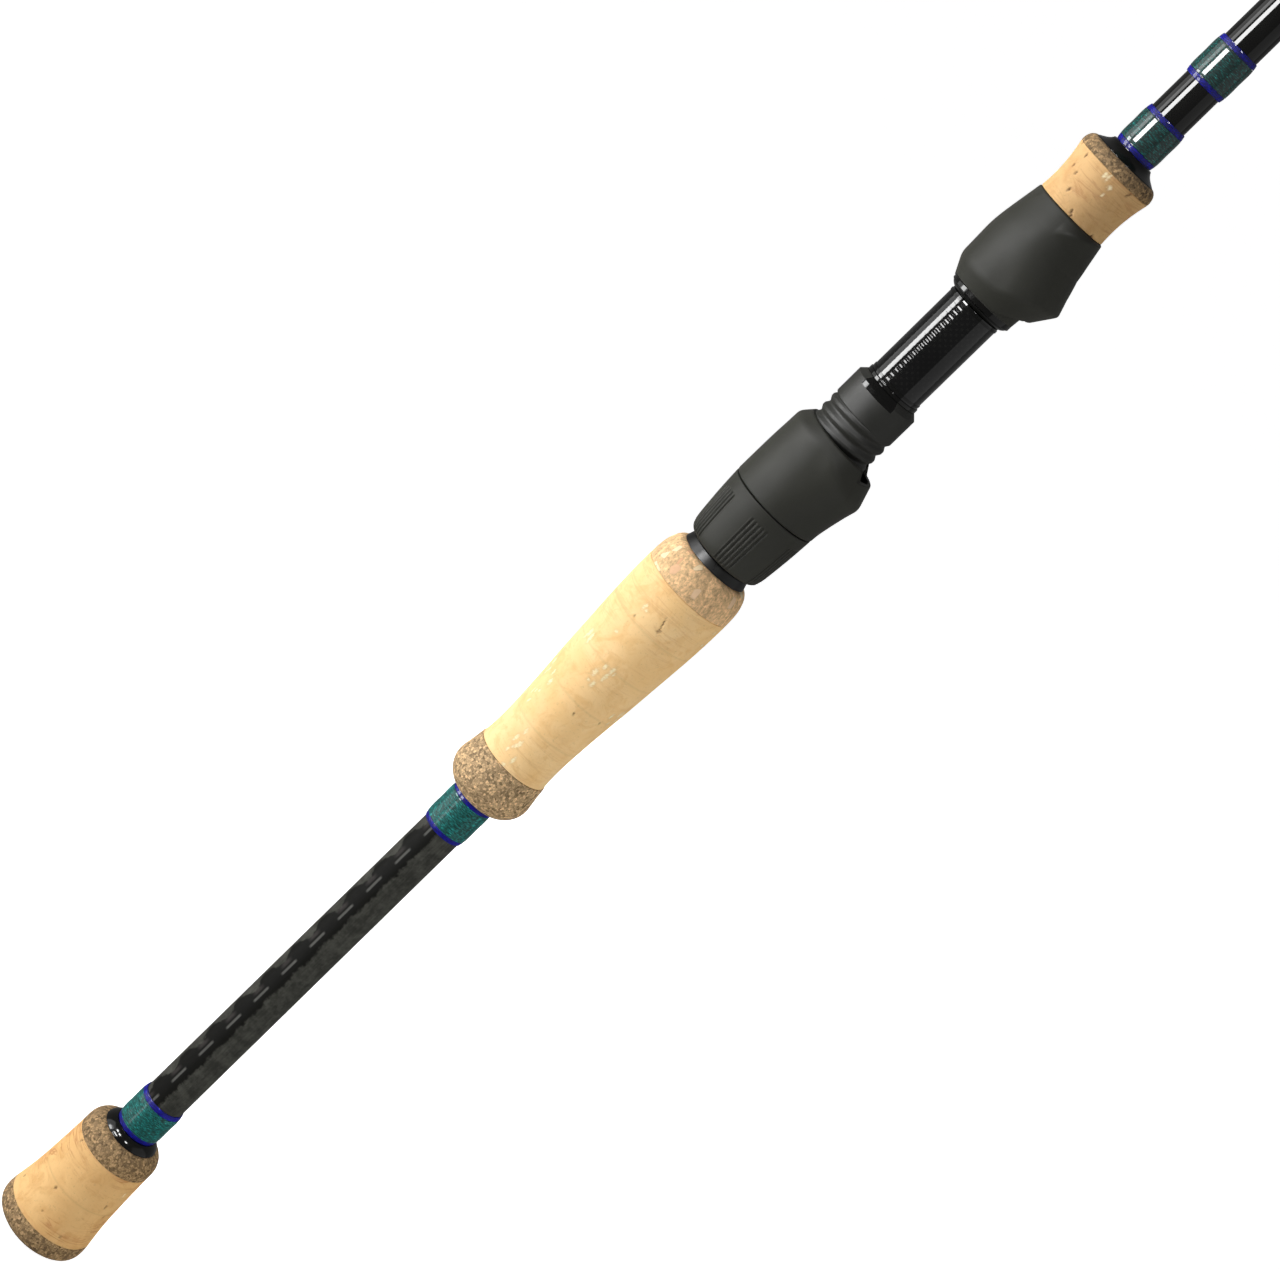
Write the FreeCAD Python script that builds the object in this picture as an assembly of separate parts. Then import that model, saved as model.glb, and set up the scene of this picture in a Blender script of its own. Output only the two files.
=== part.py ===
import FreeCAD, Part
import math
import os

# A one-piece spinning rod, standing on its butt: +Z runs from butt to tip, and +X is the
# underside, where the reel foot and the line guides sit. All sizes are in millimetres.

# Clearances, and how far a cutter runs past the face it cuts
GLUE_GAP = 0.05
RUNNING_GAP = 0.3
OVERRUN = 1.0
# Half the side of the blocks that cut right across the rod
CUTTER_REACH = 40.0

# Blank: a tapered hollow carbon tube, given as (z, outer radius)
BLANK_START = 4.0
BLANK_END = 2129.0
BLANK_STATIONS = [(0.0, 6.24), (457.0, 5.30), (1300.0, 3.15), (2134.0, 1.20)]
BLANK_WALL_BUTT = 1.3
BLANK_WALL_TIP = 0.5

# Butt grip
BUTT_PLATE_END = 7.8
BUTT_CORK_END = 35.1
BUTT_CORK_RINGS = 2
BUTT_PLATE_OUTLINE = [(10.2, 0.0), (12.3, 1.3), (13.6, 2.6), (14.1, 4.6), (14.05, 6.2), (13.9, 7.8)]
BUTT_CORK_OUTLINE = [(13.88, 7.8), (13.4, 11.5), (12.95, 15.5), (12.6, 21.0), (12.3, 27.5),
                     (12.05, 35.1)]
BUTT_BURL_OUTLINE = [(12.05, 35.1), (12.03, 37.0), (11.8, 38.7), (11.2, 40.0), (10.2, 41.0), (8.9, 41.6)]
BUTT_CHECK_OUTLINE = [(8.75, 41.65), (8.4, 42.5), (7.5, 43.5), (6.7, 44.1)]

# Palm grip
PALM_CORK_START = 197.3
PALM_CORK_END = 263.5
PALM_CORK_RINGS = 5
PALM_REAR_OUTLINE = [(8.0, 182.9), (10.2, 184.6), (11.6, 186.8), (12.1, 189.2), (11.8, 191.8),
                     (11.4, 194.5), (11.1, 197.3)]
PALM_CORK_OUTLINE = [(10.85, 197.3), (10.55, 203.5), (10.8, 211.5), (11.3, 219.5), (11.95, 228.5),
                     (12.6, 239.0), (13.2, 248.5), (13.5, 256.5), (13.55, 263.5)]
PALM_FRONT_OUTLINE = [(13.55, 263.5), (13.45, 265.8), (13.2, 268.0), (12.6, 270.2), (11.6, 272.0),
                      (10.35, 272.9)]

# Reel seat: barrel with its thread, sleeve and arbors
SEAT_BORE = 6.9
ARBOR_INSET = 2.0
TRIM_RING_START = 272.95
TRIM_RING_END = 275.65
TRIM_RING_RADIUS = 10.2
TRIM_RING_LIP = 9.35
BARREL_START = 275.7
BARREL_END = 336.4
BARREL_ROOT = 9.0
BARREL_CREST = 9.65
BARREL_LIP = 8.1
BARREL_CHAMFER = 1.55
COLLAR_START = 327.0
COLLAR_BEVEL = 0.5
THREAD_PITCH = 3.2
THREAD_START = 278.88
THREAD_TURNS = 16
THREAD_WIDTH_ROOT = 1.7
THREAD_WIDTH_CREST = 0.9
THREAD_SUNK = 0.15
THREAD_BREAK_DEG = 36.0
KEYWAY_WIDTH = 5.0
KEYWAY_FLOOR = 8.6
# Turn of the keyway and its key about the rod, from the top side
KEYWAY_TURN_DEG = -90.0
SLEEVE_START = 337.1
SLEEVE_END = 365.9
SLEEVE_RADIUS = 7.68
SLEEVE_RING_END = 337.6
BAND_WIDTH = 0.6
BAND_HEIGHT = 0.16
BAND_INSET = 0.5
BAND_GAP = 0.01

# Lock nut: turns on the barrel and pushes the moving hood
NUT_END = 294.65
NUT_BORE = 9.9
NUT_OUTLINE = [(10.6, 276.0), (11.3, 276.9), (11.8, 278.7), (12.1, 281.2), (12.45, 285.0),
               (12.75, 289.0), (13.05, 294.65)]
NUT_THREAD_TIP = 9.25
NUT_THREAD_TURNS = 4
NUT_THREAD_WIDTH_BASE = 1.75
NUT_THREAD_WIDTH_TIP = 1.15
NUT_GROOVE_GROUPS = 6
NUT_GROOVES_PER_GROUP = 5
NUT_GROOVE_STEP_DEG = 5.6
NUT_GROOVE_WIDTH = 0.55
NUT_GROOVE_FIRST_DEG = 36.0
# Floor of the grooves below the skirt's second outline point, and the cutter's reach outwards
NUT_GROOVE_FLOOR = 0.25
NUT_GROOVE_REACH = 3.0
NUT_GROOVE_END = 291.2
NUT_NECK_RADIUS = 10.85
NUT_NECK_END = 298.0
NUT_BEAD_RADIUS = 11.55
NUT_BEAD_START = 296.2
NUT_BEAD_END = 297.2

# Length of the cones that bevel the hoods, well past either hood
BEVEL_CONE_LENGTH = 80.0

# Moving hood
HOOD_START = 294.95
HOOD_END = 319.2
HOOD_BORE = 9.95
HOOD_OUTLINE = [(13.1, 294.95), (13.05, 301.0), (12.95, 307.0), (12.75, 312.0), (12.5, 319.2)]
HOOD_LIP_RADIUS = 11.15
HOOD_SNAP_RADIUS = 11.85
HOOD_SNAP_START = 295.9
HOOD_SNAP_END = 298.3
HOOD_KEY_WIDTH = 4.4
HOOD_KEY_ROOT = 10.45
HOOD_KEY_START = 298.9
HOOD_KEY_END = 318.2
# Saddle over the reel foot: (z, reach on the underside, reach on the top side)
HOOD_SADDLE = [(295.6, 12.9, 12.0), (301.6, 14.05, 11.4), (305.2, 14.8, 10.8), (309.2, 15.85, 10.0),
               (314.0, 16.9, 9.4), (319.2, 17.8, 9.0)]
# Cone that bevels its front: apex (x, z), lean towards the top side and half-angle
HOOD_BEVEL_APEX = (6.1, 338.5)
HOOD_BEVEL_LEAN_DEG = -10.9
HOOD_BEVEL_HALF_DEG = 29.2
# Its front face leans back towards the underside, about the top side's edge
HOOD_FRONT_LEAN_DEG = 3.0
# Mouth of the pocket: the underside is cut back from this x on, by this depth
HOOD_MOUTH_X = 9.7
HOOD_MOUTH_DEPTH = 3.6
# Reel-foot pocket, as circles (z, radius, centre x)
HOOD_POCKET = [(303.0, 8.1, 3.9), (309.5, 8.4, 4.7), (320.0, 8.0, 4.1)]

# Front hood, fixed
FRONT_START = 367.3
FRONT_END = 398.3
FRONT_OUTLINE = [(12.2, 367.3), (12.45, 377.0), (12.6, 383.0), (12.4, 388.5), (11.6, 393.0),
                 (10.6, 398.3)]
FRONT_NECK_RADIUS = 9.5
FRONT_NECK_END = 390.3
FRONT_SADDLE = [(367.3, 17.6, 8.4), (373.0, 16.7, 9.2), (378.5, 15.9, 10.0), (383.0, 14.35, 11.4),
                (388.0, 12.8, 12.1), (393.0, 11.75, 11.4), (396.5, 10.95, 10.7)]
FRONT_BEVEL_APEX = (-1.66, 352.5)
FRONT_BEVEL_LEAN_DEG = 3.25
FRONT_BEVEL_HALF_DEG = 30.65
FRONT_POCKET = [(366.5, 8.8, 4.8), (377.0, 8.5, 4.8), (384.0, 8.2, 3.7)]
FRONT_MOUTH_X = 10.4
FRONT_MOUTH_END = 372.6
FRONT_TRIM_START = 366.0
FRONT_TRIM_LIP = 7.9
FRONT_TRIM_RADIUS = 9.4

# Fore grip
FORE_CORK_OUTLINE = [(10.35, 398.4), (10.15, 402.0), (10.3, 406.0), (10.75, 409.6), (11.4, 412.8)]
FORE_BURL_OUTLINE = [(11.4, 412.8), (11.3, 414.2), (10.8, 415.4), (9.7, 416.3)]
FORE_CHECK_OUTLINE = [(9.4, 416.35), (7.8, 417.3), (6.7, 418.2), (6.2, 419.0)]

# Thread wraps on the handle: name, start, end
WRAP_HEIGHT = 0.62
WRAP_EDGE_SHARE = 0.45
WRAP_SHOULDER_SHARE = 0.9
WRAP_SHOULDER_RUN = 0.12
WRAP_TRIM = 1.5
HANDLE_WRAPS = [("butt", 44.2, 56.4), ("palm", 169.6, 182.6), ("fore", 419.1, 430.6),
                ("upper", 441.9, 454.2)]

# Line guides from butt to tip: station z, ring size, bore radius, height of the ring's centre
GUIDES = [(994.0, 25.0, 10.0, 34.0), (1274.0, 16.0, 6.0, 22.0), (1484.0, 10.0, 3.6, 14.5),
          (1654.0, 8.0, 2.8, 10.8), (1799.0, 7.0, 2.4, 9.2), (1926.0, 6.0, 2.0, 8.2),
          (2034.0, 6.0, 2.0, 7.4)]
RING_STRAIGHT = 1.0
RING_LIP = 0.5
# Metal band round each ring: wall over the ring's edge, wall outside the size, rim past the straight
BAND_OVER_RING = 0.7
BAND_OUTSIDE = 0.5
BAND_RIM = 0.35
# Feet and legs, as a base value and an increase per millimetre of ring size
FOOT_THICKNESS = 1.0
FOOT_WIDTH = (1.8, 0.05)
FOOT_LENGTH = (6.0, 0.45)
WIRE_RADIUS = (0.45, 0.018)
# Distance of the rear foot from the ring, per size, and of the front foot as a share of that
REAR_REACH = 0.75
FRONT_REACH_SHARE = 0.45
TWO_FOOTED_SIZE = 10.0
REAR_LEG_SPREAD_DEG = 50.0
FRONT_LEG_SPREAD_DEG = 22.0
LEG_INSET = 0.5
LEG_RIM_OFFSET = 0.25
GUIDE_WRAP_WALL = 0.35
GUIDE_WRAP_OVERRUN = 2.5
GUIDE_WRAP_STOP = 1.6

# Tip-top
TIP_TUBE_START = 2116.0
TIP_TUBE_END = 2131.0
TIP_TUBE_WALL = 0.35
TIP_TUBE_CAP = 0.8
TIP_RING_SIZE = 6.0
TIP_RING_BORE = 2.0
TIP_RING_Z = 2136.0
TIP_RING_X = 5.0
TIP_WRAP_LENGTH = 6.0
TIP_WIRE_RADIUS = 0.42
# Stays each side of the tube: (x and y of the top end at the ring, distance of the foot below the
# tube's end)
TIP_STAYS = [(4.16, 3.14, 4.0), (1.75, 0.6, 1.0)]
TIP_STAY_FOOT_X = 0.6


def point(r, z):
    return FreeCAD.Vector(r, 0, z)


def along(stations, z):
    """Value at z, straight between (z, value) stations."""
    for (z0, v0), (z1, v1) in zip(stations, stations[1:]):
        if z <= z1:
            return v0 + (v1 - v0) * (z - z0) / (z1 - z0)
    return stations[-1][1]


def blank_radius(z):
    return along(BLANK_STATIONS, z)


def glued_bore(z):
    """Radius of a hole that is glued on the blank at z."""
    return blank_radius(z) + GLUE_GAP


def revolve(edges):
    face = Part.Face(Part.Wire(edges))
    return face.revolve(FreeCAD.Vector(0, 0, 0), FreeCAD.Vector(0, 0, 1), 360)


def outline_edge(outline):
    curve = Part.BSplineCurve()
    curve.interpolate([point(r, z) for r, z in outline])
    return curve.toShape()


def turned(outline, bore_start, bore_end):
    """Solid of revolution with a smooth outside and a straight or tapered bore."""
    first, last = outline[0], outline[-1]
    inner_end = point(bore_end, last[1])
    inner_start = point(bore_start, first[1])
    return revolve([outline_edge(outline),
                    Part.makeLine(point(*last), inner_end),
                    Part.makeLine(inner_end, inner_start),
                    Part.makeLine(inner_start, point(*first))])


def turned_on_blank(outline):
    return turned(outline, glued_bore(outline[0][1]), glued_bore(outline[-1][1]))


def turned_polygon(points):
    loop = [point(r, z) for r, z in points]
    return revolve(Part.makePolygon(loop + loop[:1]).Edges)


def tapered_tube(inner, outer_start, outer_end, z0, z1):
    return turned_polygon([(inner, z0), (outer_start, z0), (outer_end, z1), (inner, z1)])


def tube(inner, outer, z0, z1):
    return tapered_tube(inner, outer, outer, z0, z1)


def cylinder(radius, z0, z1):
    return Part.makeCylinder(radius, z1 - z0, point(0, z0))


def box(x0, x1, width, z0, z1):
    """Block from x0 to x1 and z0 to z1, centred on the rod's middle plane."""
    return Part.makeBox(x1 - x0, width, z1 - z0, FreeCAD.Vector(x0, -width / 2, z0))


def rod_between(start, end, radius):
    """Round wire with rounded ends."""
    span = end.sub(start)
    wire = Part.makeCylinder(radius, span.Length, start, span)
    return wire.fuse([Part.makeSphere(radius, start), Part.makeSphere(radius, end)])


def export(name, shape):
    shape.exportStep("parts/" + name + ".step")


def sliced(solid, cuts):
    """The solid parted at each z in cuts, with a glue line between the pieces."""
    pieces = []
    extent = solid.BoundBox
    edges = [extent.ZMin - OVERRUN] + list(cuts) + [extent.ZMax + OVERRUN]
    for low, high in zip(edges, edges[1:]):
        slab = box(-CUTTER_REACH, CUTTER_REACH, 2 * CUTTER_REACH, low + GLUE_GAP / 2, high - GLUE_GAP / 2)
        pieces.append(solid.common(slab).Solids[0])
    return Part.makeCompound(pieces)


def even_cuts(start, end, count):
    return [start + (end - start) * i / count for i in range(1, count)]


def make_blank():
    outer = [(r, z) for z, r in BLANK_STATIONS if BLANK_START < z < BLANK_END]
    outer = [(blank_radius(BLANK_START), BLANK_START)] + outer + [(blank_radius(BLANK_END), BLANK_END)]
    walls = [(BLANK_START, BLANK_WALL_BUTT), (BLANK_END, BLANK_WALL_TIP)]
    inner = [(r - along(walls, z), z) for r, z in reversed(outer)]
    return turned_polygon(outer + inner)


def make_butt_plate():
    plate = turned(BUTT_PLATE_OUTLINE, 0, 0)
    socket = cylinder(glued_bore(0), BLANK_START - GLUE_GAP, BUTT_PLATE_END + OVERRUN)
    return plate.cut(socket)


def wrap_outline(start, end):
    """Low barrel shape that epoxy leaves over a thread wrap."""
    middle = (start + end) / 2
    base = blank_radius(middle)
    edge = WRAP_HEIGHT * WRAP_EDGE_SHARE
    shoulder = WRAP_HEIGHT * WRAP_SHOULDER_SHARE
    run = (end - start) * WRAP_SHOULDER_RUN
    return [(base + edge, start), (base + shoulder, start + run), (base + WRAP_HEIGHT, middle),
            (base + shoulder, end - run), (base + edge, end)]


def make_wrap(start, end):
    """Green thread between two trim bands: returns (thread, bands)."""
    whole = sliced(turned_on_blank(wrap_outline(start, end)), [start + WRAP_TRIM, end - WRAP_TRIM])
    rear, thread, front = whole.Solids
    return thread, Part.makeCompound([rear, front])


def helical_ridge(base_radius, tip_radius, base_width, tip_width, turns):
    """Right-hand thread ridge from z = 0 at the +X side, with its section centred there."""
    section = Part.makePolygon([point(base_radius, -base_width / 2), point(tip_radius, -tip_width / 2),
                                point(tip_radius, tip_width / 2), point(base_radius, base_width / 2),
                                point(base_radius, -base_width / 2)])
    helix = Part.makeHelix(THREAD_PITCH, THREAD_PITCH * turns, base_radius)
    return Part.Wire(helix.Edges).makePipeShell([section], True, True)


def make_barrel():
    chamfer_start = BARREL_END - BARREL_CHAMFER
    core = turned_polygon([(SEAT_BORE, BARREL_START), (BARREL_ROOT, BARREL_START),
                           (BARREL_ROOT, COLLAR_START - COLLAR_BEVEL), (BARREL_CREST, COLLAR_START),
                           (BARREL_CREST, chamfer_start), (BARREL_LIP, BARREL_END),
                           (SEAT_BORE, BARREL_END)])
    keyway = box(-BARREL_CREST - OVERRUN, -KEYWAY_FLOOR, KEYWAY_WIDTH, BARREL_START - OVERRUN,
                 BARREL_END + OVERRUN)
    keyway.rotate(point(0, 0), FreeCAD.Vector(0, 0, 1), KEYWAY_TURN_DEG)
    # Each turn of the thread runs from one side of the keyway round to the other.
    sweep = 1 - THREAD_BREAK_DEG / 360
    turn = helical_ridge(BARREL_ROOT - THREAD_SUNK, BARREL_CREST, THREAD_WIDTH_ROOT,
                         THREAD_WIDTH_CREST, sweep)
    turn.rotate(point(0, 0), FreeCAD.Vector(0, 0, 1), KEYWAY_TURN_DEG - 180 * sweep)
    turn.translate(point(0, THREAD_START + THREAD_PITCH * (KEYWAY_TURN_DEG / 360 - sweep / 2)))
    turns = []
    for i in range(THREAD_TURNS):
        copy = turn.copy()
        copy.translate(point(0, THREAD_PITCH * i))
        turns.append(copy)
    past_thread = cylinder(CUTTER_REACH, COLLAR_START - GLUE_GAP, BARREL_END)
    return core.cut(keyway).fuse([turn.cut(past_thread) for turn in turns])


def make_sleeve_bands():
    """Thin raised band at each end of the sleeve's open stretch."""
    foot = SLEEVE_RADIUS + BAND_GAP
    rear = SLEEVE_RING_END + BAND_INSET
    front = SLEEVE_END - BAND_INSET - BAND_WIDTH
    return Part.makeCompound([tube(foot, foot + BAND_HEIGHT, z, z + BAND_WIDTH) for z in (rear, front)])


def nut_grooves():
    """Cutters for the grip grooves, leaning with the nut's taper."""
    low_r, low_z = NUT_OUTLINE[1]
    lean = math.degrees(math.atan2(NUT_OUTLINE[-2][0] - NUT_OUTLINE[2][0],
                                   NUT_OUTLINE[-2][1] - NUT_OUTLINE[2][1]))
    length = NUT_GROOVE_END - low_z
    cutters = []
    for group in range(NUT_GROOVE_GROUPS):
        for i in range(NUT_GROOVES_PER_GROUP):
            middle = (NUT_GROOVES_PER_GROUP - 1) / 2
            group_deg = NUT_GROOVE_FIRST_DEG + group * 360 / NUT_GROOVE_GROUPS
            angle = group_deg + (i - middle) * NUT_GROOVE_STEP_DEG
            cutter = box(0, NUT_GROOVE_REACH, NUT_GROOVE_WIDTH, -2 * OVERRUN, length)
            cutter.rotate(point(0, 0), FreeCAD.Vector(0, 1, 0), lean)
            cutter.translate(point(low_r - NUT_GROOVE_FLOOR, low_z))
            cutter.rotate(point(0, 0), FreeCAD.Vector(0, 0, 1), angle)
            cutters.append(cutter)
    return cutters


def make_nut():
    skirt = turned(NUT_OUTLINE, NUT_BORE, NUT_BORE).cut(nut_grooves())
    neck = tube(NUT_BORE, NUT_NECK_RADIUS, NUT_END, NUT_NECK_END)
    bead = tube(NUT_BORE, NUT_BEAD_RADIUS, NUT_BEAD_START, NUT_BEAD_END)
    ridge = helical_ridge(NUT_BORE + THREAD_SUNK, NUT_THREAD_TIP, NUT_THREAD_WIDTH_BASE,
                          NUT_THREAD_WIDTH_TIP, NUT_THREAD_TURNS)
    # The ridge runs in the middle of the barrel's groove, half a pitch from its crest.
    ridge.translate(point(0, THREAD_START - 0.5 * THREAD_PITCH))
    return skirt.fuse([neck, bead, ridge])


def circle_wire(z, radius, centre_x):
    return Part.Wire(Part.makeCircle(radius, point(centre_x, z)))


def saddle(sections):
    """Loft of circles that reach further on the underside than on the top side."""
    wires = [circle_wire(z, (under + top) / 2, (under - top) / 2) for z, under, top in sections]
    return Part.makeLoft(wires, True, False)


def pocket(sections):
    return Part.makeLoft([circle_wire(*section) for section in sections], True, True)


def bevel_cone(apex, lean_deg, half_deg, direction):
    """Cone that opens towards direction (+1 tip, -1 butt) and leans towards +X."""
    lean = math.radians(lean_deg)
    axis = FreeCAD.Vector(math.sin(lean), 0, direction * math.cos(lean))
    spread = BEVEL_CONE_LENGTH * math.tan(math.radians(half_deg))
    return Part.makeCone(0, spread, BEVEL_CONE_LENGTH, point(*apex), axis)


def leaning_front():
    """Block ahead of the moving hood's front face."""
    block = box(0, CUTTER_REACH, 2 * CUTTER_REACH, 0, CUTTER_REACH)
    block.rotate(point(0, 0), FreeCAD.Vector(0, 1, 0), HOOD_FRONT_LEAN_DEG)
    block.translate(point(-HOOD_BORE, HOOD_END))
    return block


def underside_block(x, z0, z1):
    """Block below the rod, from x on."""
    return box(x, CUTTER_REACH, 2 * CUTTER_REACH, z0, z1)


def make_moving_hood():
    shell = turned(HOOD_OUTLINE, HOOD_BORE, HOOD_BORE).fuse(saddle(HOOD_SADDLE))
    shell = shell.common(bevel_cone(HOOD_BEVEL_APEX, HOOD_BEVEL_LEAN_DEG, HOOD_BEVEL_HALF_DEG, -1))
    cutters = [cylinder(HOOD_BORE, HOOD_START - OVERRUN, HOOD_END + OVERRUN),
               cylinder(HOOD_LIP_RADIUS, HOOD_START - OVERRUN, HOOD_SNAP_END),
               cylinder(HOOD_SNAP_RADIUS, HOOD_SNAP_START, HOOD_SNAP_END),
               pocket(HOOD_POCKET),
               leaning_front(),
               underside_block(HOOD_MOUTH_X, HOOD_END - HOOD_MOUTH_DEPTH, HOOD_END + OVERRUN)]
    key = box(-HOOD_KEY_ROOT, -KEYWAY_FLOOR - RUNNING_GAP, HOOD_KEY_WIDTH, HOOD_KEY_START, HOOD_KEY_END)
    key.rotate(point(0, 0), FreeCAD.Vector(0, 0, 1), KEYWAY_TURN_DEG)
    return shell.cut(cutters).fuse(key)


def make_front_hood():
    shell = turned(FRONT_OUTLINE, SEAT_BORE, SEAT_BORE).fuse(saddle(FRONT_SADDLE))
    shell = shell.common(bevel_cone(FRONT_BEVEL_APEX, FRONT_BEVEL_LEAN_DEG, FRONT_BEVEL_HALF_DEG, 1))
    mouth = underside_block(FRONT_MOUTH_X, FRONT_START - OVERRUN, FRONT_MOUTH_END)
    shell = shell.cut([pocket(FRONT_POCKET), mouth])
    neck = cylinder(FRONT_NECK_RADIUS, FRONT_START, FRONT_NECK_END)
    return shell.fuse(neck).cut(cylinder(SEAT_BORE, FRONT_START - OVERRUN, FRONT_END + OVERRUN))


def make_arbor(piece_start, piece_end):
    """Bushing between the blank and a seat piece, a little shorter than the piece."""
    start = piece_start + ARBOR_INSET
    end = piece_end - ARBOR_INSET
    outer = SEAT_BORE - GLUE_GAP
    return turned_polygon([(glued_bore(start), start), (outer, start), (outer, end),
                           (glued_bore(end), end)])


def make_ring(size, bore, x, z):
    """Guide ring: straight in the middle of its bore, with rounded lips."""
    outer = size / 2 - BAND_OVER_RING
    half = RING_STRAIGHT / 2
    lip = min(RING_LIP, (outer - bore) / 2)
    knee = lip * (1 - math.sqrt(0.5))
    rise = lip * math.sqrt(0.5)
    inside = Part.makeLine(point(bore, -half), point(bore, half))
    upper = Part.Arc(point(bore, half), point(bore + knee, half + rise),
                     point(bore + lip, half + lip)).toShape()
    lower = Part.Arc(point(bore + lip, -half - lip), point(bore + knee, -half - rise),
                     point(bore, -half)).toShape()
    corners = [point(bore + lip, half + lip), point(outer, half + lip), point(outer, -half - lip),
               point(bore + lip, -half - lip)]
    ring = revolve([inside, upper] + Part.makePolygon(corners).Edges + [lower])
    ring.translate(point(x, z))
    return ring


def scaled(pair, size):
    """Base value plus its increase with the ring size."""
    return pair[0] + pair[1] * size


def ring_seat(size, x, z):
    """Cutter that keeps the ring's place clear of the frame."""
    reach = RING_STRAIGHT + 2 * OVERRUN
    seat = cylinder(size / 2 - BAND_OVER_RING + GLUE_GAP, z - reach, z + reach)
    seat.translate(point(x, 0))
    return seat


def make_frame_band(size, x, z):
    """Metal band that holds the ring insert."""
    inner = size / 2 - BAND_OVER_RING + GLUE_GAP
    half = RING_STRAIGHT / 2 + BAND_RIM
    band = tube(inner, size / 2 + BAND_OUTSIDE, -half, half)
    band.translate(point(x, z))
    return band


def guide_feet(z, size):
    """Foot spans (z0, z1) beside the station: both sides on large guides, one on small ones."""
    reach = size * REAR_REACH
    length = scaled(FOOT_LENGTH, size)
    spans = [(z - reach - length, z - reach)]
    if size >= TWO_FOOTED_SIZE:
        front = z + FRONT_REACH_SHARE * reach
        spans.append((front, front + length))
    return spans


def foot_underside(z0):
    """Distance of a foot's flat underside from the rod's axis."""
    return glued_bore(z0) + GLUE_GAP


def make_guide_leg(z, size, height, span, side):
    """Round wire from a foot's inner end to the ring's band."""
    z0, z1 = span
    rear = z1 < z
    angle = math.radians(REAR_LEG_SPREAD_DEG if rear else FRONT_LEG_SPREAD_DEG)
    rim = size / 2 + LEG_RIM_OFFSET
    top = FreeCAD.Vector(height - rim * math.cos(angle), side * rim * math.sin(angle), z)
    foot_end = z1 - GLUE_GAP if rear else z0 + GLUE_GAP
    across = side * (scaled(FOOT_WIDTH, size) / 2 - LEG_INSET)
    bottom = FreeCAD.Vector(foot_underside(z0) + FOOT_THICKNESS / 2, across, foot_end)
    return rod_between(bottom, top, scaled(WIRE_RADIUS, size))


def make_guide_frame(z, size, height):
    band = make_frame_band(size, height, z)
    pieces = []
    for z0, z1 in guide_feet(z, size):
        under = foot_underside(z0)
        pieces.append(box(under, under + FOOT_THICKNESS, scaled(FOOT_WIDTH, size), z0, z1))
        for side in (-1, 1):
            pieces.append(make_guide_leg(z, size, height, (z0, z1), side))
    reach = 2 * size
    clear = cylinder(glued_bore(z - reach), z - reach, z + reach)
    return band.fuse(pieces).cut([ring_seat(size, height, z), clear])


def make_guide_wraps(z, size):
    """Thread wrap over each foot, hollowed for the blank and the foot."""
    width = scaled(FOOT_WIDTH, size)
    wraps = []
    for z0, z1 in guide_feet(z, size):
        rear = z1 < z
        low = z0 - GUIDE_WRAP_OVERRUN if rear else z0 + GUIDE_WRAP_STOP
        high = z1 - GUIDE_WRAP_STOP if rear else z1 + GUIDE_WRAP_OVERRUN
        base = glued_bore(low)
        top = foot_underside(z0) + FOOT_THICKNESS
        round_part = cylinder(base + GUIDE_WRAP_WALL, low, high)
        hump = box(0, top + GUIDE_WRAP_WALL, width + 2 * GUIDE_WRAP_WALL, low, high)
        foot_room = box(0, top + GLUE_GAP, width + 2 * GLUE_GAP, z0 - GLUE_GAP, z1 + GLUE_GAP)
        blank_room = cylinder(base, low - OVERRUN, high + OVERRUN)
        wraps.append(round_part.fuse(hump).cut([blank_room, foot_room]))
    return Part.makeCompound(wraps)


def make_tip_top_frame():
    """Closed tube on the blank's tip, with two stays each side that carry the ring's band."""
    inner = glued_bore(TIP_TUBE_START)
    outer = inner + TIP_TUBE_WALL
    bore = cylinder(inner, TIP_TUBE_START - OVERRUN, TIP_TUBE_END - TIP_TUBE_CAP)
    foot_y = outer - TIP_WIRE_RADIUS
    pieces = [make_frame_band(TIP_RING_SIZE, TIP_RING_X, TIP_RING_Z)]
    for side in (-1, 1):
        for top_x, top_y, below_end in TIP_STAYS:
            top = FreeCAD.Vector(top_x, side * top_y, TIP_RING_Z)
            bottom = FreeCAD.Vector(TIP_STAY_FOOT_X, side * foot_y, TIP_TUBE_END - below_end)
            pieces.append(rod_between(bottom, top, TIP_WIRE_RADIUS))
    shell = cylinder(outer, TIP_TUBE_START, TIP_TUBE_END)
    return shell.fuse(pieces).cut([ring_seat(TIP_RING_SIZE, TIP_RING_X, TIP_RING_Z), bore])


def make_tip_wrap():
    end = TIP_TUBE_START - RUNNING_GAP
    start = end - TIP_WRAP_LENGTH
    base = glued_bore(start)
    return tube(base, base + GUIDE_WRAP_WALL, start, end)


os.makedirs("parts", exist_ok=True)

export("blank", make_blank())

export("butt_plate", make_butt_plate())
export("butt_grip_cork", sliced(turned_on_blank(BUTT_CORK_OUTLINE),
                                even_cuts(BUTT_PLATE_END, BUTT_CORK_END, BUTT_CORK_RINGS)))
export("butt_grip_burl_ring", turned_on_blank(BUTT_BURL_OUTLINE))
export("butt_winding_check", turned_on_blank(BUTT_CHECK_OUTLINE))

export("palm_grip_rear_ring", turned_on_blank(PALM_REAR_OUTLINE))
export("palm_grip_cork", sliced(turned_on_blank(PALM_CORK_OUTLINE),
                                even_cuts(PALM_CORK_START, PALM_CORK_END, PALM_CORK_RINGS)))
export("palm_grip_front_ring", turned_on_blank(PALM_FRONT_OUTLINE))

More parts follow.
